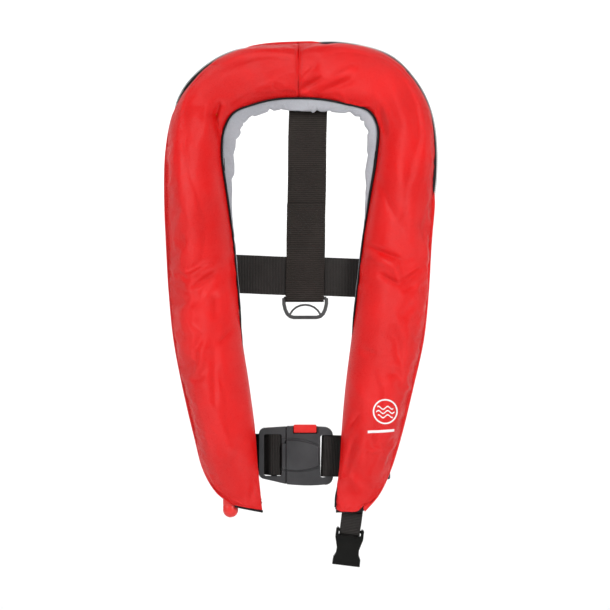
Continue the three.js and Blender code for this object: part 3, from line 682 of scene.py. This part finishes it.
def weave_height(nodes, pitch):
    """A plain weave: threads over and under each other, pitch mm apart."""
    across, along = nodes.cloth()
    turns = 2 * math.pi / pitch
    warp = nodes.maths("SINE", nodes.maths("MULTIPLY", across, turns))
    weft = nodes.maths("SINE", nodes.maths("MULTIPLY", along, turns))
    return nodes.maths("MULTIPLY", warp, weft)


def cloth_material(name, dark, base, light, pitch, roughness, sheen, mottle=0.5, gloss=0.3):
    """Woven cloth: threads, a heathered colour with painted highlight on the thread crests and painted shade
    between them, and soft creases at two sizes.
    """
    nodes = Nodes(name)
    weave = weave_height(nodes, pitch)
    heather = nodes.noise(900, 2.0, 0.7)
    patches = nodes.noise(14, 3.0, 0.5)
    colour = nodes.mix(nodes.spread(patches, 0.35, 0.68, 0, 1), dark, base)
    # The flecks mix a random heathered tone with the weave's height: painted highlight on the thread crests,
    # painted shade between them.
    heather_and_thread_shade = nodes.spread(nodes.maths("ADD", heather, nodes.maths("MULTIPLY", weave, 0.08)), 0.5, 0.72, 0,
        mottle)
    colour = nodes.mix(heather_and_thread_shade, colour, light)
    normal = nodes.bump(nodes.noise(55, 3.0, 0.5), 0.9, 0.5)
    normal = nodes.bump(nodes.maths("ADD", weave, nodes.maths("MULTIPLY", heather, 1.5)), 0.16, 0.7, normal)
    rough = nodes.spread(heather, 0.3, 0.7, roughness - 0.06, roughness + 0.08)
    return nodes.finish(colour, rough, normal, Sheen_Weight=sheen, Sheen_Roughness=0.4,
        Specular_IOR_Level=gloss)


def webbing_material(name, base, light, rib=2.1, roughness=0.62):
    """Ribbed webbing: ribs across the band and fine threads along it."""
    nodes = Nodes(name)
    along, across = nodes.cloth()
    ribs = nodes.maths("SINE", nodes.maths("MULTIPLY", along, 2 * math.pi / rib))
    threads = nodes.maths("SINE", nodes.maths("MULTIPLY", across, 2 * math.pi / 0.9))
    fuzz = nodes.noise(1400, 2.0, 0.7)
    height = nodes.maths("ADD", ribs, nodes.maths("MULTIPLY", threads, 0.35))
    # Colour follows the rib and thread height, lighter on the crests and darker in the valleys: painted
    # shade, mixed with a random fuzz of fibre tone.
    shade = nodes.spread(nodes.maths("ADD", nodes.maths("MULTIPLY", height, 0.2), fuzz), 0.3, 0.85, 0, 1)
    wear = nodes.spread(nodes.noise(30, 4.0, 0.6), 0.45, 0.75, 0, 0.35)
    colour = nodes.mix(shade, base, light)
    colour = nodes.mix(wear, colour, light)
    normal = nodes.bump(nodes.maths("ADD", height, fuzz), 0.35, 0.8)
    rough = nodes.spread(fuzz, 0.2, 0.8, roughness - 0.05, roughness + 0.1)
    return nodes.finish(colour, rough, normal, Specular_IOR_Level=0.2)


def plastic_material(name, base, light, roughness, grain=0.05, scale=1500, gloss=0.4):
    """Moulded plastic: a fine grain, faint flow marks and slightly polished high spots."""
    nodes = Nodes(name)
    speckle = nodes.noise(scale, 2.0, 0.6)
    flow = nodes.noise(38, 4.0, 0.55)
    colour = nodes.mix(nodes.spread(flow, 0.35, 0.75, 0, 0.55), base, light)
    rough = nodes.spread(flow, 0.3, 0.7, roughness - 0.07, roughness + 0.08)
    normal = nodes.bump(speckle, grain, 0.6)
    return nodes.finish(colour, rough, normal, Specular_IOR_Level=gloss)


def metal_material(name, base, roughness):
    nodes = Nodes(name)
    streaks = nodes.noise(220, 5.0, 0.65)
    colour = nodes.mix(nodes.spread(streaks, 0.3, 0.75, 0, 0.5), base, srgb(225, 226, 230))
    normal = nodes.bump(streaks, 0.04, 0.4)
    return nodes.finish(colour, nodes.spread(streaks, 0.3, 0.7, roughness - 0.06, roughness + 0.1),
        normal, Metallic=1.0)


def reflective_material(name):
    """Retro-reflective tape: a fine honeycomb of prisms under a clear face."""
    nodes = Nodes(name)
    cells = nodes.add("ShaderNodeTexVoronoi", feature="DISTANCE_TO_EDGE")
    cells.inputs["Scale"].default_value = 320
    nodes.link(nodes.place(), cells.inputs["Vector"])
    edge = nodes.spread(cells.outputs[0], 0.02, 0.08, 0, 1)
    colour = nodes.mix(edge, srgb(150, 153, 160), srgb(222, 225, 230))
    return nodes.finish(colour, nodes.spread(edge, 0, 1, 0.45, 0.25), nodes.bump(edge, 0.1, 0.4),
        Metallic=0.6)


RED_CLOTH = cloth_material(
    "red_cloth", srgb(208, 5, 5), srgb(224, 8, 8), srgb(238, 34, 34), 0.9, 0.31, 0.0, 0.5, gloss=0.36
)
GREY_CLOTH = cloth_material("grey_cloth", srgb(158, 160, 167), srgb(180, 183, 189), srgb(200, 203, 209),
    0.6, 0.7, 0.1)
DARK_CLOTH = cloth_material("dark_cloth", srgb(26, 26, 28), srgb(34, 34, 36), srgb(60, 60, 62), 0.7, 0.75,
    0.2)
YELLOW_CLOTH = cloth_material("yellow_cloth", srgb(214, 176, 12), srgb(236, 200, 24), srgb(250, 224, 90),
    0.8, 0.5, 0.1)
BLACK_TAPE = webbing_material("black_tape", srgb(16, 16, 17), srgb(46, 46, 48), 1.2, 0.7)
STRAP_WEB = webbing_material("strap_webbing", srgb(27, 23, 21), srgb(56, 50, 46), 2.4)
BELT_WEB = webbing_material("belt_webbing", srgb(28, 26, 25), srgb(58, 55, 53), 1.9)
CORD = webbing_material("cord", srgb(30, 30, 30), srgb(62, 60, 58), 1.1, 0.75)
RED_THREAD = plastic_material("red_thread", srgb(196, 16, 16), srgb(232, 60, 58), 0.6, 0.05, 3000)
BLACK_THREAD = plastic_material("black_thread", srgb(20, 20, 20), srgb(66, 64, 60), 0.6, 0.05, 3000)
BUCKLE_PLASTIC = plastic_material("buckle_plastic", srgb(50, 50, 52), srgb(70, 70, 72), 0.42, 0.06)
SOCKET_PLASTIC = plastic_material("socket_plastic", srgb(12, 12, 11), srgb(22, 22, 20), 0.3, 0.04, gloss=0.2)
INNER_PLASTIC = plastic_material("inner_plastic", srgb(34, 34, 36), srgb(58, 58, 60), 0.4, 0.05)
RING_PLASTIC = plastic_material("ring_plastic", srgb(56, 56, 57), srgb(84, 84, 84), 0.4, 0.05)
RED_PLASTIC = plastic_material("red_plastic", srgb(214, 34, 32), srgb(236, 66, 60), 0.36, 0.03)
GREEN_PLASTIC = plastic_material("green_plastic", srgb(30, 150, 52), srgb(64, 186, 84), 0.38, 0.03)
WHITE_PLASTIC = plastic_material("white_plastic", srgb(222, 222, 216), srgb(240, 240, 236), 0.4, 0.03)
WHITE_INK = plastic_material("white_ink", srgb(238, 236, 236), srgb(250, 250, 250), 0.55, 0.05)
RUBBER = plastic_material("rubber", srgb(28, 28, 29), srgb(44, 44, 45), 0.6, 0.05, 900)
STEEL = metal_material("steel", srgb(178, 180, 185), 0.32)
BLACK_ENAMEL = plastic_material("black_enamel", srgb(30, 30, 31), srgb(70, 70, 72), 0.3, 0.03)
REFLECTIVE = reflective_material("reflective")


# ---------- camera, floor and lights ----------


def add_camera():
    data = bpy.data.cameras.new("camera")
    data.sensor_width = 36
    data.lens = 36 * CAMERA_DISTANCE / FRAME_WIDTH
    data.clip_end = 20
    camera = bpy.data.objects.new("camera", data)
    bpy.context.scene.collection.objects.link(camera)
    front = placed((0, -15, 0))[1]
    camera.location = (CAMERA_AIM[0], front - CAMERA_DISTANCE, CAMERA_AIM[1])
    camera.rotation_euler = (math.pi / 2, 0, 0)
    bpy.context.scene.camera = camera


def add_studio():
    floor_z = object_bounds()[0][2] - 0.3
    rows = []
    for y, z in [(-3.5, floor_z), (1.2, floor_z)] + [
        (1.2 + 0.8 * math.sin(a), floor_z + 0.8 * (1 - math.cos(a))) for a in np.linspace(0.15, 1.57, 10)
    ] + [(2.0, 4.0)]:
        rows.append([(-5, y, z), (5, y, z)])
    mesh = bpy.data.meshes.new("floor")
    flat = [p for row in rows for p in row]
    mesh.from_pydata(flat, [], [(2 * i, 2 * i + 1, 2 * i + 3, 2 * i + 2) for i in range(len(rows) - 1)])
    mesh.polygons.foreach_set("use_smooth", [True] * len(mesh.polygons))
    floor = bpy.data.objects.new("floor", mesh)
    bpy.context.scene.collection.objects.link(floor)
    nodes = Nodes("floor_paint")
    shade = nodes.spread(nodes.noise(3, 3.0, 0.5), 0.2, 0.8, 0, 1)
    mesh.materials.append(nodes.finish(nodes.mix(shade, srgb(250, 250, 250), srgb(253, 253, 253)), 0.9))
    world = bpy.data.worlds.new("studio")
    world.use_nodes = True
    world.node_tree.nodes["Background"].inputs[0].default_value = (1, 1, 1, 1)
    world.node_tree.nodes["Background"].inputs[1].default_value = 0.13
    bpy.context.scene.world = world
    bpy.context.scene.view_settings.view_transform = "Standard"


def add_light(name, place, aim, size, power):
    data = bpy.data.lights.new(name, "AREA")
    data.shape = "RECTANGLE"
    data.size, data.size_y = size
    data.energy = power
    light = bpy.data.objects.new(name, data)
    light.location = place
    light.rotation_euler = (Vector(aim) - Vector(place)).to_track_quat("-Z", "Y").to_euler()
    bpy.context.scene.collection.objects.link(light)


add_camera()
add_studio()
add_light("left_softbox", (-1.7, -1.1, 0.6), (0, 0, -0.2), (1.0, 1.1), 28)
add_light("right_softbox", (1.05, -1.5, 0.4), (0, 0, -0.2), (0.55, 0.9), 30)
add_light("backdrop", (0, 0.9, 1.4), (0, 2.0, 0.2), (2.5, 1.0), 30)


# ---------- the cover, its lining and its trim ----------

cover_left, left_lines = make_cover(-1)
cover_right, right_lines = make_cover(1)
finish_piece(cover_left, RED_CLOTH, "jacket", "red_cloth", "cover_front_left")
finish_piece(cover_right, RED_CLOTH, "jacket", "red_cloth", "cover_front_right")

seam_stitches = stitches(
    "cover_stitches",
    [left_lines["outer"], right_lines["outer"], left_lines["seam"], right_lines["seam"],
     left_lines["tip"], right_lines["tip"]],
    (0, -0.25, 0),
)
finish_piece(seam_stitches, RED_THREAD, "jacket", "red_cloth")


def make_back_panel():
    rows, columns = 230, 30
    t = np.linspace(-0.001, 1.001, rows)
    turn = np.linspace(1.0, 2.0, columns)
    lined = ramp(t, 0.17, 0.24) * ramp(-t, -0.83, -0.76)
    points = envelope(t[:, None], turn[None, :], 0.0, 1 - 0.55 * lined[:, None])
    generator = np.random.default_rng(7)
    creases = []
    for _ in range(26):
        x, z = generator.uniform(-150, 150), generator.uniform(-430, 40)
        angle = generator.uniform(-0.9, 0.9)
        creases.append(((x, z), (x + 40 * math.cos(angle), z + 40 * math.sin(angle)),
            generator.uniform(4, 8), -1.2))
    inside = np.sin((turn - 1) * math.pi)[None, :] ** 0.5
    points[..., 1] += folds(points, creases) * inside
    piece = facing(grid_piece("back_cloth", points), (0, 1, 0))
    settle_cloth(piece, edge_pins(rows, columns), 0.4, 0.015, 2.5)
    return thickened(subdivided(piece), 0.8)


finish_piece(make_back_panel(), DARK_CLOTH, "jacket", "charcoal_cloth", "back_panel")

# Tucks in the neck lining: station along the neck edge, reach before it, reach after it, depth in mm. A
# short reach makes a steep side, which lies in shadow.
TUCKS = [
    (0.300, 0.020, 0.006, 3.0), (0.326, 0.010, 0.012, 2.2), (0.352, 0.014, 0.005, 3.6),
    (0.374, 0.004, 0.014, 4.0), (0.392, 0.010, 0.003, 3.0), (0.418, 0.014, 0.004, 3.4),
    (0.452, 0.006, 0.004, 5.2), (0.470, 0.004, 0.012, 1.6), (0.524, 0.018, 0.003, 2.4),
    (0.534, 0.003, 0.009, 4.8), (0.556, 0.008, 0.005, 3.2), (0.584, 0.004, 0.012, 3.0),
    (0.604, 0.006, 0.004, 5.0), (0.618, 0.003, 0.010, 3.4), (0.646, 0.012, 0.005, 3.6),
    (0.676, 0.005, 0.016, 2.6), (0.705, 0.012, 0.006, 2.2),
]
# How much wider the lining shows at stations along the neck edge: (station, share of the roll).
LINING_SHOWN = [
    (0.20, 0.7), (0.28, 0.9), (0.33, 1.15), (0.365, 1.35), (0.385, 1.25), (0.41, 1.0), (0.45, 0.86),
    (0.5, 0.94), (0.53, 1.16), (0.56, 0.98), (0.585, 0.82), (0.60, 1.0), (0.63, 1.02), (0.66, 0.98),
    (0.72, 0.85), (0.80, 0.7),
]


def make_lining():
    rows, columns = 420, 26
    t = np.linspace(0.2, 0.8, rows)
    turn = np.linspace(1.0, 1.52, columns)
    roll = np.interp(t, *zip(*LINING_SHOWN))
    points = envelope(t[:, None], turn[None, :], -1.4, roll[:, None])
    smooth = envelope(t[:, None], turn[None, :], -4.4, roll[:, None])
    outwards = unit(smooth - points)
    opening = np.sin(np.clip((turn - 1) / 0.34, 0, 1) * math.pi / 2)
    depth = np.zeros(rows)
    for station, before, after, drop in TUCKS:
        away = np.where(t < station, (station - t) / before, (t - station) / after)
        depth = np.maximum(depth, drop * np.clip(1 - away, 0, 1))
    opening = opening * (1.25 - 1.2 * ramp(turn, 1.1, 1.3))
    points -= outwards * (depth[:, None] * opening[None, :] - 0.8)[..., None]
    piece = facing(grid_piece("neck_lining_cloth", points), (0, 0, -1))
    settle_cloth(piece, edge_pins(rows, columns), 0.15, 0.02, 1.5)
    return thickened(subdivided(piece), 0.7)


finish_piece(make_lining(), GREY_CLOTH, "jacket", "grey_cloth", "neck_lining")


def tube(name, centres, radius, sides=8):
    """A round cord along drawing points."""
    centres = np.asarray(centres, float)
    along = unit(np.gradient(centres, axis=0))
    side = unit(np.cross(along, [0.2, 0.9, 0.1]))
    up = np.cross(along, side)
    stations = np.r_[0, np.cumsum(np.linalg.norm(np.diff(centres, axis=0), axis=1))]
    points, uv = [], []
    for c, s, v, length in zip(centres, side, up, stations):
        for k in range(sides):
            angle = 2 * math.pi * k / sides
            points.append(c + radius * (math.cos(angle) * s + math.sin(angle) * v))
            uv.append((length, radius * angle))
    piece = mesh_piece(name, points, ring_faces(len(centres), sides), uv)
    face_outwards(piece)
    return piece


def make_piping():
    t = np.linspace(0.008, 0.992, 420)
    seam = envelope(t, np.ones_like(t))
    inward = unit(seam - envelope(t, np.zeros_like(t)))
    tucked = ramp(-t, -0.20, -0.17) + ramp(t, 0.80, 0.83) * ramp(-t, -0.98, -0.95)
    centres = seam + inward * (0.9 - 2.6 * tucked)[:, None] + np.array([0, -1.5, 0])
    centres[:, 1] += 2.6 * tucked
    return tube("neck_edge_piping", centres, 1.05)


finish_piece(make_piping(), BLACK_TAPE, "jacket", "black_tape", "neck_piping")


def make_tip_binding(side):
    """The black binding under a lobe's end."""
    t = 0.002 if side < 0 else 0.998
    turn = np.linspace(0.985, 0.06, 30)
    line = envelope(np.full(30, t), turn)
    line[:, 1] = line[:, 1] * 0.4 + 0.6
    line[:, 2] += -0.8 if side < 0 else 0.4
    if side > 0:
        line[:, 2] += ramp(line[:, 0], 66, 80) ** 2 * 7 + ramp(-line[:, 0], -52, -44) * 3
    return tube("tip_binding_left" if side < 0 else "tip_binding_right", line, 1.5)


finish_piece(make_tip_binding(-1), BLACK_TAPE, "jacket", "black_tape")
finish_piece(make_tip_binding(1), BLACK_TAPE, "jacket", "black_tape")


def make_zip_tape():
    """The zip's tape, which bulges out and reaches under the cover where the cover is drawn back."""
    t = np.linspace(0.03, 0.97, 320)
    edge, outward = edge_frame(t)
    shown = (1 - flap_amount(t))[:, None]
    profile = [(-1.0, -0.8), (-0.8, -0.6), (-0.3, -0.2), (0.5, 0.8), (0.6, 3.4), (0.0, 5.4), (-1.4, 6.0)]
    reach = [(-7.6, -4.6), (-2.2, -3.8), (0.3, -2.8), (1.6, -0.8), (1.6, 0), (0.8, 0), (0, 0)]
    points = np.stack([
        edge + outward * (out + more * shown) + np.array([0, 1.0, 0]) * (back + deeper * shown)
        for (out, back), (more, deeper) in zip(profile, reach)
    ], axis=1)
    return thickened(facing(grid_piece("zip_tape_cloth", points), (0, 0, 1)), 0.6)


def make_zip_teeth():
    """The coil's teeth, one small rounded block for each."""
    t = np.linspace(0.1, 0.9, 560)
    edge, outward = edge_frame(t)
    along = unit(np.gradient(edge, axis=0))
    points, faces = [], []
    for number in range(len(t)):
        out = 1.1 + 1.8 * (1 - flap_amount(t[number]))
        centre = edge[number] + outward[number] * out + np.array([0, 1.5 + 0.45 * (-1) ** number, 0])
        base = len(points)
        for depth in (-1, 1):
            for s, o in ((-1, -1), (1, -1), (1, 1), (-1, 1)):
                back = np.array([0, depth * (1.36 - 0.24 * o), 0])
                points.append(centre + along[number] * 0.55 * s + outward[number] * 0.75 * o + back)
        for f in [(0, 1, 2, 3), (4, 7, 6, 5), (0, 4, 5, 1), (1, 5, 6, 2), (2, 6, 7, 3), (3, 7, 4, 0)]:
            faces.append(tuple(base + k for k in f))
    piece = mesh_piece("zip_teeth", points, faces)
    face_outwards(piece)
    return piece


finish_piece(make_zip_tape(), BLACK_TAPE, "jacket", "black_tape", "zip_tape")
finish_piece(make_zip_teeth(), INNER_PLASTIC, "jacket", "zip_teeth", "zip_chain")


# ---------- the printed badge ----------


def make_badge(cover):
    """A round wave mark with a plain bar under it, printed on the right lobe."""
    surface = BVHTree.FromObject(cover, bpy.context.evaluated_depsgraph_get())
    points, faces = [], []

    def strip(inner, outer):
        base = len(points)
        for a, b in zip(inner, outer):
            points.extend([a, b])
        for k in range(len(inner) - 1):
            faces.append((base + 2 * k, base + 2 * k + 1, base + 2 * k + 3, base + 2 * k + 2))

    centre = (103.5, -362.0)
    turn = np.linspace(0, 2 * math.pi, 64)
    strip(*([(centre[0] + r * math.cos(a), centre[1] + r * math.sin(a)) for a in turn] for r in (13.2, 15.0)))
    for drop, reach in ((4.5, 9.5), (-0.5, 11.0), (-5.5, 9.0)):
        xs = np.linspace(-reach, reach, 40)
        wave = [drop + 1.7 * math.sin(x / 22 * 4 * math.pi) for x in xs]
        strip(*([(centre[0] + x, centre[1] + w + o) for x, w in zip(xs, wave)] for o in (-0.8, 0.8)))
    xs = np.linspace(-17, 15, 40)
    strip(*([(centre[0] - 4 + x, -385.5 + o + x * 0.05) for x in xs] for o in (-1.6, 1.6)))

    lifted = []
    for x, z in points:
        start = Vector(placed((x, -150, z)))
        hit = surface.ray_cast(start, Vector((0, 1, 0)))[0]
        lifted.append(np.array(hit) * 1000 + NECK_BEARING + np.array([0, -0.35, 0]))
    piece = mesh_piece("wave_badge", lifted, faces)
    return thickened(facing(piece, (0, -1, 0)), 0.12)


finish_piece(make_badge(cover_right), WHITE_INK, "jacket", "white_plastic")


# ---------- the harness ----------


def strap_x(z):
    return STRAP_X + 3.4 * (z + 200) / 200


def make_back_strap():
    front = STRAP_Y - STRAP_GAP
    centre = STRAP_Y - STRAP_GAP / 2
    layer = STRAP_Y - WEBBING - 0.35
    pairs = [(38.9, 60), (39.9, 34), (39.3, 14), (STRAP_Y, -105), (STRAP_Y, LOOP_Z)]
    pairs += arc(centre, LOOP_Z, STRAP_GAP / 2, -10, -170, 8)
    pairs += [(front, LOOP_Z), (front, -176), (front + 1.5, -168), (layer, -158), (layer, -111)]
    line = [(strap_x(z), y, z) for y, z in pairs]
    return ribbon("back_strap_webbing", line, (1, 0, 0))


def make_back_belt():
    xs = np.linspace(-134, 134, 46)
    sway = np.cos((math.pi / 2) * np.minimum(1, np.abs(xs - STRAP_X) / 78)) ** 2
    line = [
        (x, 19.2 + (STRAP_Y - STRAP_GAP / 2 - 19.2) * s, BELT_Z - 0.03 * (x - STRAP_X))
        for x, s in zip(xs, sway)
    ]
    return ribbon("back_belt_webbing", line, (0, 0, 1))


finish_piece(make_back_strap(), STRAP_WEB, "jacket", "black_webbing", "back_strap")
finish_piece(make_back_belt(), BELT_WEB, "jacket", "black_webbing", "belt_back")


def box_stitch(x0, z0, x1, z1, y):
    """A box of stitching with a cross in it."""
    corners = [(x0, y, z0), (x1, y, z0), (x1, y, z1), (x0, y, z1), (x0, y, z0)]
    lines = [[a, b] for a, b in zip(corners, corners[1:])]
    return lines + [[corners[0], corners[2]], [corners[1], corners[3]]]


strap_front = STRAP_Y - 1.5 * WEBBING - 0.35
strap_stitching = stitches(
    "strap_stitches",
    box_stitch(strap_x(-135) - 19, -158, strap_x(-135) + 19, -114, strap_front)
    + [[(strap_x(-170) - 20, strap_front - 4, -165.5), (strap_x(-170) + 20, strap_front - 4, -165.5)]],
    (0, -0.1, 0),
    2.6,
)
finish_piece(strap_stitching, BLACK_THREAD, "jacket", "black_webbing")


def make_rise(side):
    name = "belt_rise_webbing_left" if side < 0 else "belt_rise_webbing_right"
    lean = math.radians(7.8) * side
    reach = 126
    ends = [
        (side * 97 + sign * reach * math.sin(lean), 16.2, -308 + sign * reach * math.cos(lean))
        for sign in (1, -1)
    ]
    return ribbon(name, ends, (math.cos(lean), 0, -math.sin(lean)), ripple=0.1)


def make_keeper(side):
    name = "belt_keeper_webbing_left" if side < 0 else "belt_keeper_webbing_right"
    lean = math.radians(7.8) * side
    pairs = [(-30.5, 14.0), (-25.5, 14.0), (-24, 18.7), (24, 18.7), (25.5, 14.0), (30.5, 14.0)]
    line = [(side * 97 + a * math.cos(lean), y, -308 - a * math.sin(lean)) for a, y in pairs]
    return ribbon(name, line, (math.sin(lean), 0, math.cos(lean)), width=25, thickness=1.0, ripple=0.0)


for which, word in ((-1, "left"), (1, "right")):
    finish_piece(make_rise(which), BELT_WEB, "jacket", "black_webbing", f"belt_rise_{word}")
    finish_piece(make_keeper(which), BELT_WEB, "jacket", "black_webbing", f"belt_keeper_{word}")


def make_front_belts():
    """The belt's two ends, each pressed round its bar in the buckle."""
    right = [(67, -2.6), (59, -4.8)] + oval(49.5, 0, 6.4, 5.2, -90, -270, 8) + [(59, 4.8), (70, 0), (117, 0)]
    left = [(-88, 4.2), (-36, 6.6), (-26.4, 6.4), (-20, -3.2), (-16.5, -4.1), (-12.5, -4.0)]
    left += oval(-11.2, 0.4, 5.3, 4.4, -60, 60, 5) + [(-16, 7.6), (-28, 9.2), (-38, 9.6), (-78, 8.6)]
    pieces = []
    for name, pairs, low, twist in (("belt_webbing_left", left, 0.7, 0.0),
        ("belt_webbing_right", right, -0.9, 0.03)):
        line = [(WAIST[0] + x, WAIST[1] + y, WAIST[2] + low) for x, y in pairs]
        pieces.append(ribbon(name, line, (twist, 0, 1), width=BELT_IN_BUCKLE, step=1.2, ripple=0.1))
    return pieces


front_belt_left, front_belt_right = make_front_belts()
finish_piece(front_belt_left, BELT_WEB, "buckle_tongue", "black_webbing", "belt_front_left")
finish_piece(front_belt_right, BELT_WEB, "jacket", "black_webbing", "belt_front_right")


# ---------- moulded pieces ----------

BUCKLE_FACE = -6.9  # the buckle's front plane, from its middle


def crown_buckle(piece):
    """Gives the buckle's flat front its crowned centre panel, a groove over and under it, and a domed frame.

    The tongue's rear edge is drawn out to meet the receiver, which leaves a groove between them in front.
    """
    count = len(piece.data.vertices)
    co = np.zeros(count * 3, np.float32)
    piece.data.vertices.foreach_get("co", co)
    local = co.reshape(-1, 3) * 1000 + NECK_BEARING - WAIST
    x, y, z = local.T
    top = 19.0 - 0.0068 * (x - 5) ** 2
    bottom = -17.8 + 0.0065 * (x - 12) ** 2
    span = ramp(x, -8, -5) * ramp(-x, -41, -38)
    panel = span * ramp(z - bottom, -0.8, 0.9) * ramp(top - z, -0.8, 0.9)
    grooves = span * (np.exp(-(((z - top - 1.2) / 1.1) ** 2)) + np.exp(-(((z - bottom + 1.2) / 1.1) ** 2)))
    front = ramp(-y, 2.5, 4.4)
    flat = np.maximum(y, BUCKLE_FACE)
    dome = 1.5 * np.cos(np.clip(z / 37, -1, 1) * math.pi / 2)
    raised = 2.3 * panel * ramp(-y, 5.0, 6.6) + 0.6 * dome - 1.3 * grooves
    meeting = 0.75 * ramp(x, -1.4, -0.5) * ramp(-x, -0.1, 0.1) * ramp(y, -2.6, -1.4)
    local = np.column_stack([x + meeting, np.where(y < 0, flat - front * raised, y), z])
    piece.data.vertices.foreach_set("co", placed(local + WAIST).astype(np.float32).ravel())
    piece.data.update()


MOULDED = [
    ("ring_moulding", "crotch_ring", 0.4, 5, RING_PLASTIC, "crotch_ring", "black_plastic"),
    ("buckle_tongue_moulding", "buckle_tongue_half", 0.45, 5, BUCKLE_PLASTIC, "buckle_tongue",
        "black_plastic"),
    ("buckle_front_moulding", "receiver_front_shell", 0.4, 4, BUCKLE_PLASTIC, "jacket", "black_plastic"),
    ("buckle_back_moulding", "receiver_back_shell", 0.45, 4, BUCKLE_PLASTIC, "jacket", "black_plastic"),
    ("button_moulding", "release_button", 0.4, 4, RED_PLASTIC, "release_button", "red_plastic"),
    ("socket_moulding", "crotch_socket", 0.4, 5, SOCKET_PLASTIC, "crotch_socket", "black_plastic"),
    ("inflator_moulding", "inflator_body", 0.6, 5, INNER_PLASTIC, "jacket", "black_plastic"),
    ("whistle_moulding", "whistle", 0.5, 4, WHITE_PLASTIC, "jacket", "white_plastic"),
]
for name, node, voxel, smooth, material, body, slot in MOULDED:
    piece = moulded(name, node, voxel, smooth)
    if node in ("buckle_tongue_half", "receiver_front_shell"):
        crown_buckle(piece)
    finish_piece(piece, material, body, slot, node)


def turned(name, profile, centre, sides=40):
    """A round piece about a vertical axis, from (radius, z) pairs."""
    points = [
        (centre[0] + r * math.cos(a), centre[1] + r * math.sin(a), z)
        for r, z in profile
        for a in np.linspace(0, 2 * math.pi, sides, endpoint=False)
    ]
    piece = mesh_piece(name, points, ring_faces(len(profile), sides))
    face_outwards(piece)
    return piece


def make_handle():
    r, top, bottom = 9.2, -461, -492.5
    profile = [(0.05, bottom)] + [
        (r * math.sin(a), bottom + r - r * math.cos(a)) for a in np.linspace(0.15, math.pi / 2, 10)
    ]
    profile += [(r, bottom + 14), (r - 0.3, bottom + 14.6), (r - 0.3, bottom + 15.4), (r, bottom + 16)]
    profile += [(r, top - 4), (r - 1, top - 1.5), (r - 3.5, top - 0.3), (3, top), (2.5, top + 6),
        (0.05, top + 6)]
    return turned("pull_handle_moulding", profile, (-82.4, 10))


finish_piece(make_handle(), RED_PLASTIC, "pull_handle", "red_plastic", "pull_handle")


def make_crotch_stub():
    x, y, pivot, bar = 66, 9.5, -479, -508.5
    pairs = [(y, pivot - 0.5), (y, bar + 9), (y + 3.4, bar + 2.6)] + oval(y, bar, 3.4, 5.7, 20, -200, 9)
    pairs += [(y - 2.2, bar + 8), (y - 2.1, bar + 22)]
    lean = math.radians(7)
    line = [(x + (z - pivot) * math.sin(lean), b, pivot + (z - pivot) * math.cos(lean)) for b, z in pairs]
    return ribbon("crotch_webbing", line, (math.cos(lean), 0, -math.sin(lean)), width=25, thickness=1.5,
        step=1.0)


finish_piece(make_crotch_stub(), BELT_WEB, "crotch_strap", "black_webbing", "crotch_stub")
crotch_tab = ribbon(
    "crotch_tab_webbing",
    [(66, 8.5, -476.6), (66, 11, -459), (66, 14.5, -441)],
    (1, 0, 0), width=25, thickness=1.6, ripple=0.1,
)
finish_piece(crotch_tab, BELT_WEB, "jacket", "black_webbing", "crotch_tab")


def make_bladder():
    """The folded bladder: coated cloth in long pleats."""
    piece = bpy.data.objects.new("folded_bladder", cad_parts["bladder"].data.copy())
    bpy.context.scene.collection.objects.link(piece)
    remesh = piece.modifiers.new("Remesh", "REMESH")
    remesh.mode = "VOXEL"
    remesh.voxel_size = 0.0032
    bake_modifiers(piece)
    count = len(piece.data.vertices)
    co = np.zeros(count * 3, np.float32)
    piece.data.vertices.foreach_get("co", co)
    normals = np.zeros(count * 3, np.float32)
    piece.data.vertices.foreach_get("normal", normals)
    co, normals = co.reshape(-1, 3), normals.reshape(-1, 3)
    pleat = np.sin(co[:, 1] / 0.0065 * math.pi + 0.8 * np.sin(co[:, 2] / 0.05))
    co += normals * (0.0009 * (pleat - 1) - 0.0026)[:, None]
    piece.data.vertices.foreach_set("co", co.ravel())
    subdivided(piece)
    layer = piece.data.uv_layers.new(name="cloth_mm")
    loops = np.zeros(len(piece.data.loops), np.int32)
    piece.data.loops.foreach_get("vertex_index", loops)
    spots = np.zeros(len(piece.data.vertices) * 3, np.float32)
    piece.data.vertices.foreach_get("co", spots)
    spots = spots.reshape(-1, 3) * 1000
    layer.data.foreach_set("uv", (spots[:, [0, 2]] + spots[:, [1, 1]])[loops].astype(np.float32).ravel())
    piece.data.polygons.foreach_set("use_smooth", [True] * len(piece.data.polygons))
    return piece


def make_reflective_tape(side):
    """A band of tape across the bladder's shoulder."""
    t = np.linspace(0.301, 0.375, 24)
    if side > 0:
        t = 1 - t
    turn = np.linspace(0.19, 0.5, 14)
    points = envelope(t[:, None], turn[None, :], 4.6)
    name = "shoulder_tape_left" if side < 0 else "shoulder_tape_right"
    return thickened(facing(grid_piece(name, points), (0, -1, 0)), 0.4)


finish_piece(make_reflective_tape(-1), REFLECTIVE, "jacket", "silver_tape", "reflective_tape_left")
finish_piece(make_reflective_tape(1), REFLECTIVE, "jacket", "silver_tape", "reflective_tape_right")
bladder = finish_piece(make_bladder(), YELLOW_CLOTH, "jacket", "yellow_bladder", "bladder")

# ---------- the CAD's own pieces that keep their shape ----------

KEPT = {
    "zip_slider": BLACK_ENAMEL, "zip_pull": BLACK_ENAMEL, "co2_cylinder": STEEL,
        "auto_cartridge": WHITE_PLASTIC,
    "cartridge_cap": INNER_PLASTIC, "status_clip": GREEN_PLASTIC, "piercing_pin": STEEL,
    "firing_lever": RED_PLASTIC, "pull_lanyard": CORD, "oral_tube": RUBBER, "oral_valve_body": INNER_PLASTIC,
    "oral_valve_spring": STEEL, "oral_valve_poppet": RED_PLASTIC, "whistle_cord": CORD,
    "lock_plate": INNER_PLASTIC, "button_spring": STEEL,
}
for node, material in KEPT.items():
    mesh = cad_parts[node].data
    mesh.materials.clear()
    mesh.materials.append(material)

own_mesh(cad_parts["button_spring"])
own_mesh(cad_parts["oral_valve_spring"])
